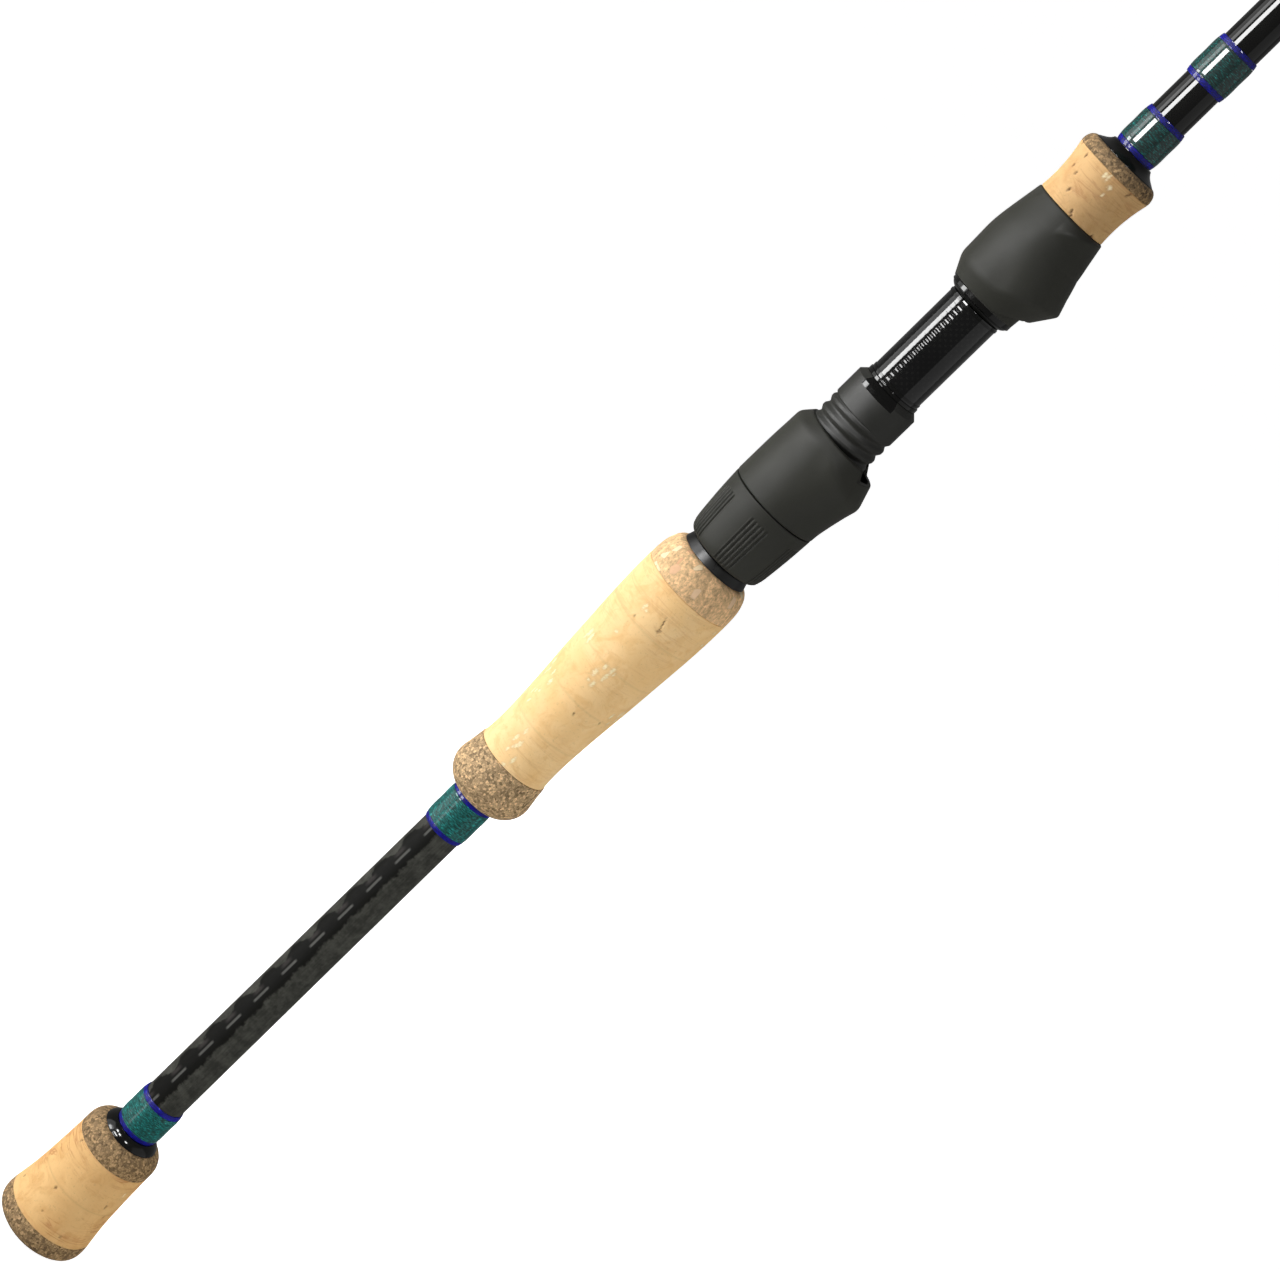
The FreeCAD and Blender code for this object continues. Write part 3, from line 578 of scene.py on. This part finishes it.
class Paint:
    """A Principled material and short calls for its texture nodes."""

    def __init__(self, name):
        self.material = bpy.data.materials.new(name)
        self.material.use_nodes = True
        self.tree = self.material.node_tree
        self.shader = self.tree.nodes["Principled BSDF"]
        self.place = self.tree.nodes.new("ShaderNodeTexCoord").outputs["Object"]

    def node(self, kind, **settings):
        made = self.tree.nodes.new("ShaderNode" + kind)
        for key, value in settings.items():
            setattr(made, key, value)
        return made

    def math(self, operation, a, b=None):
        made = self.node("Math", operation=operation)
        sock(self.tree, a, made.inputs[0])
        sock(self.tree, b, made.inputs[1])
        return made.outputs[0]

    def axis(self, which):
        split = self.node("SeparateXYZ")
        self.tree.links.new(self.place, split.inputs[0])
        return split.outputs[which]

    def stretched(self, x, y, z):
        made = self.node("Mapping")
        self.tree.links.new(self.place, made.inputs["Vector"])
        made.inputs["Scale"].default_value = (x, y, z)
        return made.outputs[0]

    def noise(self, scale, detail=3.0, roughness=0.5, place=None, distortion=0.0):
        made = self.node("TexNoise")
        sock(self.tree, place or self.place, made.inputs["Vector"])
        made.inputs["Scale"].default_value = scale
        made.inputs["Detail"].default_value = detail
        made.inputs["Roughness"].default_value = roughness
        made.inputs["Distortion"].default_value = distortion
        return made.outputs["Fac"]

    def cells(self, scale, output="Color", feature="F1", place=None):
        made = self.node("TexVoronoi", feature=feature)
        sock(self.tree, place or self.place, made.inputs["Vector"])
        made.inputs["Scale"].default_value = scale
        return made.outputs[output]

    def field(self, name):
        made = self.node("Attribute", attribute_name=name)
        return made.outputs["Fac"]

    def ramp(self, factor, *stops):
        """Colour ramp through stops of (place, colour or grey level)."""
        made = self.node("ValToRGB")
        self.tree.links.new(factor, made.inputs[0])
        points = made.color_ramp.elements
        while len(points) < len(stops):
            points.new(0.5)
        for point, (at, color) in zip(points, stops):
            point.position = at
            point.color = (*((color,) * 3 if np.isscalar(color) else color), 1)
        return made.outputs[0]

    def mix(self, factor, a, b, blend="MIX"):
        made = self.node("Mix", data_type="RGBA", blend_type=blend)
        sock(self.tree, factor, made.inputs[0])
        for value, target in ((a, made.inputs[6]), (b, made.inputs[7])):
            sock(self.tree, (*value, 1) if isinstance(value, tuple) else value, target)
        return made.outputs[2]

    def bump(self, height, distance, strength=1.0, below=None):
        made = self.node("Bump")
        made.inputs["Distance"].default_value = distance
        made.inputs["Strength"].default_value = strength
        self.tree.links.new(height, made.inputs["Height"])
        if below is not None:
            self.tree.links.new(below, made.inputs["Normal"])
        return made.outputs[0]

    def finish(self, color=None, roughness=None, normal=None, **values):
        for name, value in (("Base Color", color), ("Roughness", roughness), ("Normal", normal)):
            sock(self.tree, value, self.shader.inputs[name])
        for name, value in values.items():
            self.shader.inputs[name.replace("_", " ")].default_value = value
        return self.material


def cork_material(name, pale, deep, lines):
    """Natural cork between two tones, with growth lines round the rod and the relief's own marks."""
    p = Paint(name)
    color = p.ramp(p.noise(70, 4, 0.6, distortion=0.8), (0.35, pale), (0.65, deep))
    color = p.mix(p.ramp(p.field("disc"), (0.0, 0.0), (1.0, 0.35)), color, deep)
    blotch = p.ramp(p.noise(150, 5, 0.65, distortion=1.5), (0.50, 0.0), (0.66, 0.55))
    color = p.mix(blotch, color, tone(deep, (0.88, 0.78, 0.68)))
    rings = p.noise(1.0, 4, 0.6, place=p.stretched(40, 40, 330), distortion=1.0)
    line = p.ramp(rings, (0.47, 0.0), (0.51, lines), (0.55, 0.0))
    patchy = p.ramp(p.noise(60, 2), (0.45, 0.0), (0.6, 1.0))
    color = p.mix(p.math("MULTIPLY", line, patchy), color, tone(deep, (0.72, 0.55, 0.5)))
    speck = p.ramp(p.noise(1500, 3, 0.7), (0.58, 0.0), (0.72, 0.4))
    color = p.mix(speck, color, tone(deep, 0.6))
    # The marks that the relief stores on the mesh
    color = p.mix(p.math("MULTIPLY", p.field("rim"), 0.55), color, tone(deep, 0.62))
    color = p.mix(p.field("fleck"), color, FLECK_COLOR)
    color = p.mix(p.math("MULTIPLY", p.field("joint"), 0.25), color, tone(deep, 0.6))
    color = p.mix(p.field("pit"), color, PIT_COLOR)
    grain = p.bump(p.noise(2600, 3, 0.65), 0.06 * MM, 0.7)
    grain = p.bump(p.noise(420, 3, 0.5), 0.12 * MM, 0.5, below=grain)
    rough = p.ramp(p.noise(900, 2), (0.3, 0.72), (0.7, 0.92))
    return p.finish(color, rough, grain, Specular_IOR_Level=CORK_SPECULAR)


def burl_material(name, scale, average, contrast, stretch=0.5, seam=0.45, accents=()):
    """Pressed cork granules: chips of mixed browns, longer along the rod."""
    p = Paint(name)
    place = p.stretched(scale, scale, scale * stretch)
    split = p.node("SeparateColor")
    p.tree.links.new(p.cells(1.0, "Color", place=place), split.inputs[0])
    shades = [tone(average, 1 + contrast * k) for k in (-0.62, -0.25, 0.1, 0.55, 1.1)]
    color = p.ramp(split.outputs[0], *zip((0.0, 0.25, 0.5, 0.8, 1.0), shades))
    fine = p.ramp(p.noise(2.2, 3, 0.7, place=place), (0.32, 0.62), (0.68, 1.3))
    color = p.mix(1.0, color, fine, "MULTIPLY")
    for start, accent in accents:
        color = p.mix(p.ramp(split.outputs[1], (start, 0.0), (start + 0.02, 0.8)), color, accent)
    edge = p.cells(1.0, "Distance", "DISTANCE_TO_EDGE", place=place)
    color = p.mix(p.ramp(edge, (0.0, seam), (0.10, 0.0)), color, tone(average, 0.25))
    relief = p.bump(edge, 0.10 * MM, seam)
    relief = p.bump(p.noise(3.0, 3, 0.6, place=place), 0.08 * MM, 0.6, below=relief)
    return p.finish(color, 0.85, relief, Specular_IOR_Level=CORK_SPECULAR)


def soft_plastic(name, color, sheen, grain_depth=0.03):
    """Matt moulded plastic with a fine grain and a little dust."""
    p = Paint(name)
    shade = p.ramp(p.noise(45, 3), (0.3, tone(color, 0.88)), (0.7, tone(color, 1.12)))
    dust = p.ramp(p.noise(3200, 2, 0.7), (0.62, 0.0), (0.8, 0.35))
    shade = p.mix(dust, shade, tone(color, 1.8))
    rough = p.ramp(p.noise(130, 3), (0.3, 0.46), (0.7, 0.56))
    grain = p.bump(p.noise(3000, 2, 0.6), grain_depth * MM, 0.6)
    return p.finish(shade, rough, grain, Specular_IOR_Level=sheen)


def gloss_black(name, color=(0.006, 0.006, 0.0055), roughness=0.10):
    p = Paint(name)
    shade = p.ramp(p.noise(60, 3), (0.3, tone(color, 0.7)), (0.7, tone(color, 1.5)))
    rough = p.ramp(p.noise(240, 3), (0.3, roughness * 0.75), (0.75, roughness * 1.4))
    return p.finish(shade, rough, p.bump(p.noise(90, 2), 0.01 * MM, 0.15), Specular_IOR_Level=GLOSS_SPECULAR)


def weave_black():
    """Gloss sleeve with a faint weave under the lacquer and a slight ripple along it."""
    p = Paint("woven_gloss_black")
    angle = p.math("ARCTAN2", p.axis(1), p.axis(0))
    across = p.math("SINE", p.math("MULTIPLY", angle, WEAVE_AROUND))
    along_rod = p.math("SINE", p.math("MULTIPLY", p.axis(2), FULL_TURN / (WEAVE_PITCH * MM)))
    weave = p.ramp(p.math("MULTIPLY", across, along_rod), (0.35, 0.0), (0.65, 1.0))
    shade = p.mix(weave, (0.003, 0.003, 0.003), (0.009, 0.009, 0.008))
    patch = p.ramp(p.noise(110, 3), (0.4, 0.4), (0.65, 1.0))
    shade = p.mix(1.0, shade, patch, "MULTIPLY")
    ripple = p.math("SINE", p.math("MULTIPLY", p.axis(2), FULL_TURN / (RIPPLE_PITCH * MM)))
    normal = p.bump(ripple, 0.02 * MM, 0.8, below=p.bump(weave, 0.004 * MM, 0.5))
    return p.finish(shade, 0.08, normal, Specular_IOR_Level=GLOSS_SPECULAR, Coat_Weight=0.3,
                    Coat_Roughness=0.03)


def painted_reflection_masks(p):
    """Masks of the wound carbon's painted reflection: the dark eyes, the arch of painted sheen and the grey
    dash of painted highlight in each, and their height.
    """
    facing = p.math("ADD", p.math("ARCTAN2", p.axis(1), p.axis(0)), math.pi / 2)
    side = p.math("WRAP", facing, math.pi / 2)
    side.node.inputs[2].default_value = -math.pi / 2
    rag = p.math("MULTIPLY", p.math("SUBTRACT", p.noise(520, 4, 0.65), 0.5), 0.5)
    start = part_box("butt_wrap_trim")[1][2] + EYE_OFFSET * MM
    place = p.math("DIVIDE", p.math("SUBTRACT", p.axis(2), start), EYE_PITCH * MM)
    from_row = p.math("SUBTRACT", side, EYE_HIGHLIGHT_ROW)
    slanted = p.math("SUBTRACT", place, p.math("MULTIPLY", from_row, EYE_SLANT))
    lobe = p.math("COSINE", p.math("MULTIPLY", slanted, FULL_TURN))
    upper = p.math("ADD", p.math("MULTIPLY", lobe, EYE_LOBE), EYE_UPPER)
    below = p.math("SUBTRACT", p.math("SUBTRACT", EYE_LOWER, side), p.math("MULTIPLY", lobe, 0.03))
    inside = p.math("ADD", p.math("MINIMUM", p.math("SUBTRACT", side, upper), below), rag)
    painted_dark_eye = p.ramp(inside, (0.0, 0.0), (0.12, 1.0))
    middle = p.math("SUBTRACT", p.math("FRACT", p.math("ADD", place, 0.5)), 0.5)
    centred = p.math("ABSOLUTE", middle)
    row = p.math("ABSOLUTE", from_row)
    painted_dash_highlight = p.math("MULTIPLY", p.ramp(row, (0.03, 1.0), (0.08, 0.0)),
                  p.ramp(centred, (0.22, 1.0), (0.29, 0.0)))
    above = p.ramp(p.math("SUBTRACT", EYE_HIGHLIGHT_ROW, side), (0.0, 0.0), (0.05, 1.0))
    from_arch = p.math("ABSOLUTE", p.math("ADD", row, -0.26))
    painted_arch_sheen = p.math("MULTIPLY", p.ramp(from_arch, (0.05, 0.7), (0.13, 0.0)),
                  p.ramp(centred, (0.08, 1.0), (0.22, 0.0)))
    return painted_dark_eye, p.math("MULTIPLY", painted_arch_sheen, above), painted_dash_highlight, inside


def wound_carbon():
    """Satin carbon with a chain of dark eyes down two sides, where the wound outer layer crosses. The eyes,
    arches and dashes are painted reflection in the colour: painted dark, painted sheen and painted highlight.
    """
    p = Paint("wound_carbon")
    painted_dark_eye, painted_arch_sheen, painted_dash_highlight, inside = painted_reflection_masks(p)
    patch = p.ramp(p.noise(300, 5, 0.7), (0.40, 0.72), (0.62, 1.35))
    shade = p.mix(1.0, (0.046, 0.046, 0.039), patch, "MULTIPLY")
    # Painted reflection: dark eyes, a lighter arch of painted sheen and a grey dash of painted highlight.
    shade = p.mix(painted_dark_eye, shade, (0.0045, 0.0045, 0.0035))
    shade = p.mix(painted_arch_sheen, shade, (0.040, 0.034, 0.032))
    shade = p.mix(painted_dash_highlight, shade, (0.085, 0.085, 0.078))
    strands = p.noise(1.0, 2, 0.6, place=p.stretched(2600, 2600, 160))
    shade = p.mix(1.0, shade, p.ramp(strands, (0.35, 0.85), (0.7, 1.15)), "MULTIPLY")
    rough = p.ramp(p.noise(700, 2), (0.3, 0.50), (0.7, 0.62))
    return p.finish(shade, rough, p.bump(inside, 0.02 * MM, 0.3), Specular_IOR_Level=0.07)


def thread_material(name, dark, light, painted_glint, coat):
    """Metallic thread wound round the rod, under smooth clear epoxy, with painted glints in broken streaks
    and painted shade in the grooves between turns.
    """
    p = Paint(name)
    rib = p.math("SINE", p.math("MULTIPLY", p.axis(2), FULL_TURN / (THREAD_TURN * MM)))
    broken = p.noise(1.0, 2, 0.6, place=p.stretched(900, 900, 4200))
    # Painted glints: the brighter stops are a painted highlight in broken streaks along the thread.
    sheen = p.ramp(broken, (0.38, dark), (0.56, light), (0.74, painted_glint))
    # Painted shade in the grooves between the turns of thread.
    shade = p.mix(p.ramp(rib, (0.0, 0.55), (0.6, 0.0)), sheen, tone(dark, 0.35))
    normal = p.bump(rib, 0.03 * MM, 0.6)
    return p.finish(shade, 0.5, normal, Specular_IOR_Level=0.12, Coat_Weight=coat, Coat_Roughness=0.03)


def guide_metal():
    p = Paint("black_plated_steel")
    shade = p.ramp(p.noise(180, 3), (0.3, (0.030, 0.030, 0.033)), (0.7, (0.055, 0.055, 0.060)))
    rough = p.ramp(p.noise(600, 3), (0.3, 0.20), (0.7, 0.34))
    return p.finish(shade, rough, p.bump(p.noise(1500, 2), 0.01 * MM, 0.4), Metallic=0.85)


def ceramic():
    p = Paint("polished_ceramic")
    shade = p.ramp(p.noise(240, 3), (0.3, (0.05, 0.05, 0.055)), (0.7, (0.085, 0.085, 0.09)))
    rough = p.ramp(p.noise(500, 2), (0.3, 0.06), (0.7, 0.12))
    return p.finish(shade, rough, p.bump(p.noise(800, 2), 0.005 * MM, 0.3), Specular_IOR_Level=0.7)


def arbor_material():
    p = Paint("moulded_bushing")
    shade = p.ramp(p.noise(700, 3), (0.3, (0.42, 0.42, 0.38)), (0.7, (0.56, 0.56, 0.50)))
    return p.finish(shade, 0.8, p.bump(p.noise(1800, 3), 0.05 * MM, 0.6))


BUTT_CORK = cork_material("butt_cork", (0.79, 0.51, 0.215), (0.69, 0.405, 0.155), 0.9)
PALM_CORK = cork_material("palm_cork", (0.96, 0.685, 0.345), (0.90, 0.59, 0.26), 0.3)
FORE_CORK = cork_material("fore_cork", (0.75, 0.485, 0.215), (0.655, 0.395, 0.165), 0.5)
FINE_BURL = burl_material("fine_burl", 1500, (0.43, 0.29, 0.15), 0.85, 1.0)
RUBBER_BURL = burl_material("rubber_burl", 1500, (0.27, 0.172, 0.08), 0.85, 0.9)
COARSE_BURL = burl_material("coarse_burl", 600, (0.72, 0.47, 0.24), 0.24, 0.7, 0.18,
                            ((0.93, (0.88, 0.74, 0.48)), (0.99, (0.62, 0.20, 0.07))))
SOFT_BLACK = soft_plastic("soft_touch_black", (0.034, 0.034, 0.028), 0.12)
BARREL_BLACK = soft_plastic("barrel_black", (0.016, 0.016, 0.013), 0.30, 0.02)
GLOSS_BLACK = gloss_black("gloss_black", (0.004, 0.004, 0.0035))
SATIN_BLACK = gloss_black("satin_black", (0.004, 0.004, 0.0035), 0.32)
BLANK_GLOSS = gloss_black("lacquered_carbon", roughness=0.05)
WOVEN = weave_black()
WOUND = wound_carbon()
TEAL = thread_material("teal_thread", (0.003, 0.046, 0.040), (0.008, 0.17, 0.155), (0.03, 0.55, 0.50), 0.45)
# A darker copy of the same teal thread, for the fore, upper, guide and tip wraps: painted shade.
SHADED_TEAL = thread_material("shaded_teal_thread", (0.001, 0.016, 0.014), (0.002, 0.065, 0.058),
                            (0.02, 0.34, 0.31), 0.8)
BLUE = thread_material("blue_thread", (0.002, 0.002, 0.12), (0.002, 0.003, 0.34), (0.008, 0.015, 0.65), 0.35)
METAL = guide_metal()
CERAMIC = ceramic()
ARBOR = arbor_material()


def dress(piece, material, slot):
    """Gives the piece its material. The slot argument is not used."""
    piece.data.materials.clear()
    piece.data.materials.append(material)


# ---------------------------------------------------------------- the rod's pieces


BLANK_Z, BLANK_R = outline("blank")


def blank_radius(z):
    return float(np.interp(z, BLANK_Z, BLANK_R))


def gap_between(angle, other):
    """Signed angle from one to the other, the short way round."""
    return (angle - other + math.pi) % FULL_TURN - math.pi


def add_oval(total, dz, dx, a, b):
    """Adds a soft oval with the half-axes a along the rod and b round it, where it is near."""
    near = np.abs(dz) < 3 * a
    along_rod = (dz[near][:, None] / a) ** 2
    total[near] = np.maximum(total[near], np.exp(-along_rod - (dx[near] / b) ** 2))


def spots(angle, z, radius, rng, count, half_length, half_width):
    """Field of small soft ovals scattered over the surface, each between the two given sizes."""
    total = np.zeros(radius.shape)
    mean = float(np.mean(radius))
    for _ in range(count):
        centre = rng.uniform(0, FULL_TURN)
        height = rng.uniform(z[0], z[-1])
        a = rng.uniform(*half_length) * MM
        b = rng.uniform(*half_width) * MM
        lean = rng.uniform(-0.35, 0.35)
        dz = z - height
        add_oval(total, dz, gap_between(angle, centre) * mean + lean * dz[:, None], a, b)
    return total


def clustered(angle, z, radius, rng, clusters, each):
    """Small ovals in loose clusters."""
    total = np.zeros(radius.shape)
    mean = float(np.mean(radius))
    for _ in range(clusters):
        centre, height = rng.uniform(0, FULL_TURN), rng.uniform(z[0], z[-1])
        for _ in range(rng.integers(1, each + 1)):
            a, b = rng.uniform(0.5, 1.6) * MM, rng.uniform(0.3, 0.75) * MM
            dz = z - height - rng.normal(0, 1.8) * MM
            dx = gap_between(angle, centre + rng.normal(0, 1.0 * MM / mean)) * mean
            add_oval(total, dz, np.broadcast_to(dx, radius.shape), a, b)
    return total


def cork_relief(seed, discs, pits, slots, clusters):
    """Pits, long slots, clusters of pale flecks and glued joints of a cork grip."""

    def relief(angle, z, radius):
        rng = np.random.default_rng(seed)
        pit = spots(angle, z, radius, rng, pits, (0.35, 1.0), (0.28, 0.55))
        slot = spots(angle, z, radius, rng, slots, (2.0, 4.0), (0.16, 0.24))
        fleck = clustered(angle, z, radius, rng, clusters, 6)
        rag = rng.uniform(0.4, 1.0, radius.shape)
        pit = np.clip(np.maximum(pit, slot) * 1.6 * rag - 0.3, 0, 1)
        rim = np.clip(fleck * 2.0 * rag - 0.12, 0, 1)
        fleck = np.clip(fleck * 2.2 * rag - 0.55, 0, 1)
        edges = np.linspace(z[0], z[-1], discs + 1)
        gaps = np.abs(z[:, None] - edges[None, 1:-1])
        nearest = np.min(gaps, axis=1) if discs > 1 else np.full(len(z), 1.0)
        joint = np.repeat(np.exp(-(nearest / (0.25 * MM)) ** 2)[:, None], radius.shape[1], 1)
        shades = rng.uniform(0, 1.0, discs)
        which = np.clip(np.searchsorted(edges, z) - 1, 0, discs - 1)
        disc = np.repeat(shades[which][:, None], radius.shape[1], 1)
        depth = pit * 0.40 * MM + joint * 0.03 * MM + fleck * 0.05 * MM
        rim = np.clip(rim - fleck, 0, 1) * (1 - pit)
        return depth, {"pit": pit, "fleck": fleck * (1 - pit), "rim": rim, "joint": joint, "disc": disc}

    return relief


def burl_relief(seed, depth_mm):
    """Crumbly surface of pressed cork granules."""

    def relief(angle, z, radius):
        rng = np.random.default_rng(seed)
        holes = spots(angle, z, radius, rng, BURL_HOLES, (0.25, 0.6), (0.25, 0.6))
        return np.clip(holes - 0.3, 0, 1) * depth_mm * MM, {}

    return relief


def build_grips():
    grips = [("butt_plate", "butt_plate", RUBBER_BURL, "burl", burl_relief(1, 0.2)),
             ("butt_cork", "butt_grip_cork", BUTT_CORK, "cork",
              cork_relief(seed=2, discs=2, pits=18, slots=1, clusters=2)),
             ("butt_burl_ring", "butt_grip_burl_ring", RUBBER_BURL, "burl", burl_relief(3, 0.25)),
             ("palm_rear_ring", "palm_grip_rear_ring", FINE_BURL, "burl", burl_relief(4, 0.2)),
             ("palm_cork", "palm_grip_cork", PALM_CORK, "cork",
              cork_relief(seed=15, discs=5, pits=6, slots=5, clusters=44)),
             ("palm_front_ring", "palm_grip_front_ring", COARSE_BURL, "light_burl", burl_relief(6, 0.15)),
             ("fore_cork", "fore_grip_cork", FORE_CORK, "cork",
              cork_relief(seed=7, discs=1, pits=22, slots=0, clusters=2)),
             ("fore_burl_ring", "fore_grip_burl_ring", RUBBER_BURL, "burl", burl_relief(8, 0.25))]
    for name, node, material, slot, relief in grips:
        piece = turned_node(name, node, edge=CORK_EDGE, step=CORK_CELL, cell=CORK_CELL, relief=relief)
        dress(piece, material, slot)


def build_blank():
    start, end = BLANK_Z[0], BLANK_Z[-1]
    z = np.linspace(start, end, int((end - start) / BLANK_CELL))
    bore = (BLANK_BORE * blank_radius(start), BLANK_BORE * blank_radius(end))
    piece = turned("blank_tube", z, np.interp(z, BLANK_Z, BLANK_R), bore, around=BLANK_AROUND)
    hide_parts("blank")
    dress(piece, WOUND, "carbon")
    piece.data.materials.append(BLANK_GLOSS)
    # The bare butt section is satin, and the lacquer starts under the palm grip.
    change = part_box("palm_grip_rear_ring")[0][2] + 5 * MM
    for face in piece.data.polygons:
        face.material_index = int(face.center.z > change)


def join(pieces, name):
    """One object from several pieces of the same body."""
    points, faces = [], []
    for piece in pieces:
        first = len(points)
        points += [v.co[:] for v in piece.data.vertices]
        faces += [[first + i for i in face.vertices] for face in piece.data.polygons]
        bpy.data.objects.remove(piece)
    return add_mesh(name, points, faces)


def wrap_band(z_known, r_known):
    """One raised trim band at the end of a thread wrap."""
    edge = 0.1 * MM
    z = stations(z_known[0], z_known[-1], 0.2 * MM, edge)
    r = rounded(z, np.interp(z, z_known, r_known), edge)
    return turned("band", z, r, blank_radius(z[0]), cell=RING_CELL)


def build_wraps():
    # The fore and upper wraps take the darker copy of the thread, which is painted shade.
    for label, thread in (("butt", TEAL), ("palm", TEAL), ("fore", SHADED_TEAL), ("upper", SHADED_TEAL)):
        wrap = turned_node(label + "_wrap", label + "_wrap_thread", edge=0.03 * MM, step=0.3 * MM,
                           cell=RING_CELL)
        dress(wrap, thread, "green_thread")
        z, r = outline(label + "_wrap_trim")
        middle = (z[0] + z[-1]) / 2
        bands = [wrap_band(z[end], r[end]) for end in (z < middle, z > middle)]
        pair = join(bands, label + "_wrap_bands")
        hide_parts(label + "_wrap_trim")
        dress(pair, BLUE, "blue_thread")


def build_gloss_rings():
    rings = (("butt_winding_check", 0.2, GLOSS_BLACK), ("fore_winding_check", 0.2, GLOSS_BLACK),
             ("seat_rear_trim_ring", 0.2, SATIN_BLACK), ("barrel_trim_ring", 0.2, GLOSS_BLACK),
             ("front_hood_trim_ring", 0.55, GLOSS_BLACK))
    for node, edge, material in rings:
        piece = turned_node(node + "_gloss", node, edge=edge * MM, step=0.15 * MM, cell=RING_CELL)
        dress(piece, material, "gloss_black")
    sleeve = turned_node("sleeve_tube", "seat_sleeve", edge=0.1 * MM, step=0.5 * MM, cell=RING_CELL)
    dress(sleeve, WOVEN, "gloss_carbon")


# Tip and guide wraps take the darker copy of the teal thread, which is painted shade.
CAD_FINISHES = {"sleeve_trim_bands": GLOSS_BLACK, "seat_arbor_rear": ARBOR,
                "seat_arbor_middle": ARBOR, "seat_arbor_front": ARBOR, "tip_top_frame": METAL,
                "tip_top_ring": CERAMIC, "tip_top_wrap": SHADED_TEAL}
GUIDE_FINISHES = {"frame": METAL, "ring": CERAMIC, "wraps": SHADED_TEAL}


def dress_cad_nodes():
    finishes = dict(CAD_FINISHES)
    for node in NODES:
        if node.startswith("guide_"):
            finishes[node] = GUIDE_FINISHES[node.rsplit("_", 1)[1]]
    for node, material in finishes.items():
        NODES[node].data.materials.clear()
        NODES[node].data.materials.append(material)


# ---------------------------------------------------------------- studio


def build_floor():
    half = FLOOR_HALF
    corners = [(-half, -half, 0), (half, -half, 0), (half, half, 0), (-half, half, 0)]
    mesh = bpy.data.meshes.new("floor")
    mesh.from_pydata(corners, [], [(0, 1, 2, 3)])
    floor = bpy.data.objects.new("floor", mesh)
    bpy.context.scene.collection.objects.link(floor)
    floor.location.z = cad_box[0][2]
    p = Paint("pale_floor")
    shade = p.ramp(p.noise(3, 3), (0.3, 0.84), (0.7, 0.86))
    p.finish(shade, 0.9, None, Specular_IOR_Level=0.0, Emission_Color=(1, 1, 1, 1),
             Emission_Strength=FLOOR_GLOW)
    mesh.materials.append(p.material)
    # The floor only shows to the camera: the lights and the world below it light the rod.
    floor.visible_diffuse = False
    floor.visible_glossy = False
    floor.visible_shadow = False


def aim(item, target):
    item.rotation_euler = (Vector(target) - item.location).to_track_quat("-Z", "Y").to_euler()


def softbox(name, place, target, width, height, radiance, diffuse=True, glossy=True):
    """Area light of the given radiance. It shows in reflections only where glossy is true."""
    data = bpy.data.lights.new(name, "AREA")
    data.shape = "RECTANGLE"
    data.size = width
    data.size_y = height
    data.energy = radiance * width * height * math.pi
    item = bpy.data.objects.new(name, data)
    bpy.context.scene.collection.objects.link(item)
    item.location = place
    aim(item, target)
    item.visible_camera = False
    item.visible_diffuse = diffuse
    item.visible_glossy = glossy


def around_rod(azimuth_deg, distance, z):
    """Place beside the rod. Azimuth 0 is in front of it, and grows towards +X."""
    azimuth = math.radians(azimuth_deg)
    return (distance * math.sin(azimuth), -distance * math.cos(azimuth), z)


def build_lights():
    for name, azimuth, distance, z, width, height, radiance in BROAD_BOXES:
        softbox(name, around_rod(azimuth, distance, z), (0, 0, z), width, height, radiance, glossy=False)
    for name, azimuth, z, width, height, radiance in STRIPS:
        place = around_rod(azimuth, STRIP_DISTANCE, z)
        softbox(name, place, (0, 0, z), width, height, radiance, diffuse=False)
    for number, (azimuth, z) in enumerate(DOTS):
        place = around_rod(azimuth, DOT_DISTANCE, z)
        softbox(f"dot_{number}", place, DOT_TARGET, DOT_SIZE, DOT_SIZE, DOT_RADIANCE, diffuse=False)


def build_world():
    """Even white world: dim as a light, and white where the camera sees it."""
    world = bpy.data.worlds.new("studio")
    bpy.context.scene.world = world
    world.use_nodes = True
    tree = world.node_tree
    back = tree.nodes["Background"]
    back.inputs["Color"].default_value = (1, 1, 1, 1)
    seen = tree.nodes.new("ShaderNodeLightPath").outputs["Is Camera Ray"]
    level = tree.nodes.new("ShaderNodeMapRange")
    tree.links.new(seen, level.inputs["Value"])
    level.inputs["To Min"].default_value = WORLD_LIGHT
    level.inputs["To Max"].default_value = WORLD_SEEN
    tree.links.new(level.outputs[0], back.inputs["Strength"])


def build_camera():
    data = bpy.data.cameras.new("camera")
    data.lens = FOCAL_MM
    data.sensor_width = SENSOR_MM
    data.sensor_fit = "HORIZONTAL"
    data.clip_end = 100
    camera = bpy.data.objects.new("camera", data)
    bpy.context.scene.collection.objects.link(camera)
    level = Vector((1, 0, 0))
    upward = Vector((0, math.sin(CAMERA_PITCH), math.cos(CAMERA_PITCH)))
    back = Vector((0, -math.cos(CAMERA_PITCH), math.sin(CAMERA_PITCH)))
    right = math.cos(CAMERA_ROLL) * level + math.sin(CAMERA_ROLL) * upward
    up = -math.sin(CAMERA_ROLL) * level + math.cos(CAMERA_ROLL) * upward
    place = LOOK_AT + CAMERA_DISTANCE * back
    turn = Matrix((right, up, back)).transposed().to_4x4()
    camera.matrix_world = Matrix.Translation(place) @ turn
    bpy.context.scene.camera = camera


build_camera()
build_floor()
build_lights()
build_world()
bpy.context.scene.view_settings.view_transform = "Standard"
build_grips()
build_blank()
build_wraps()
build_gloss_rings()
build_moving_hood()
build_front_hood()
build_nut()
build_barrel()
dress_cad_nodes()
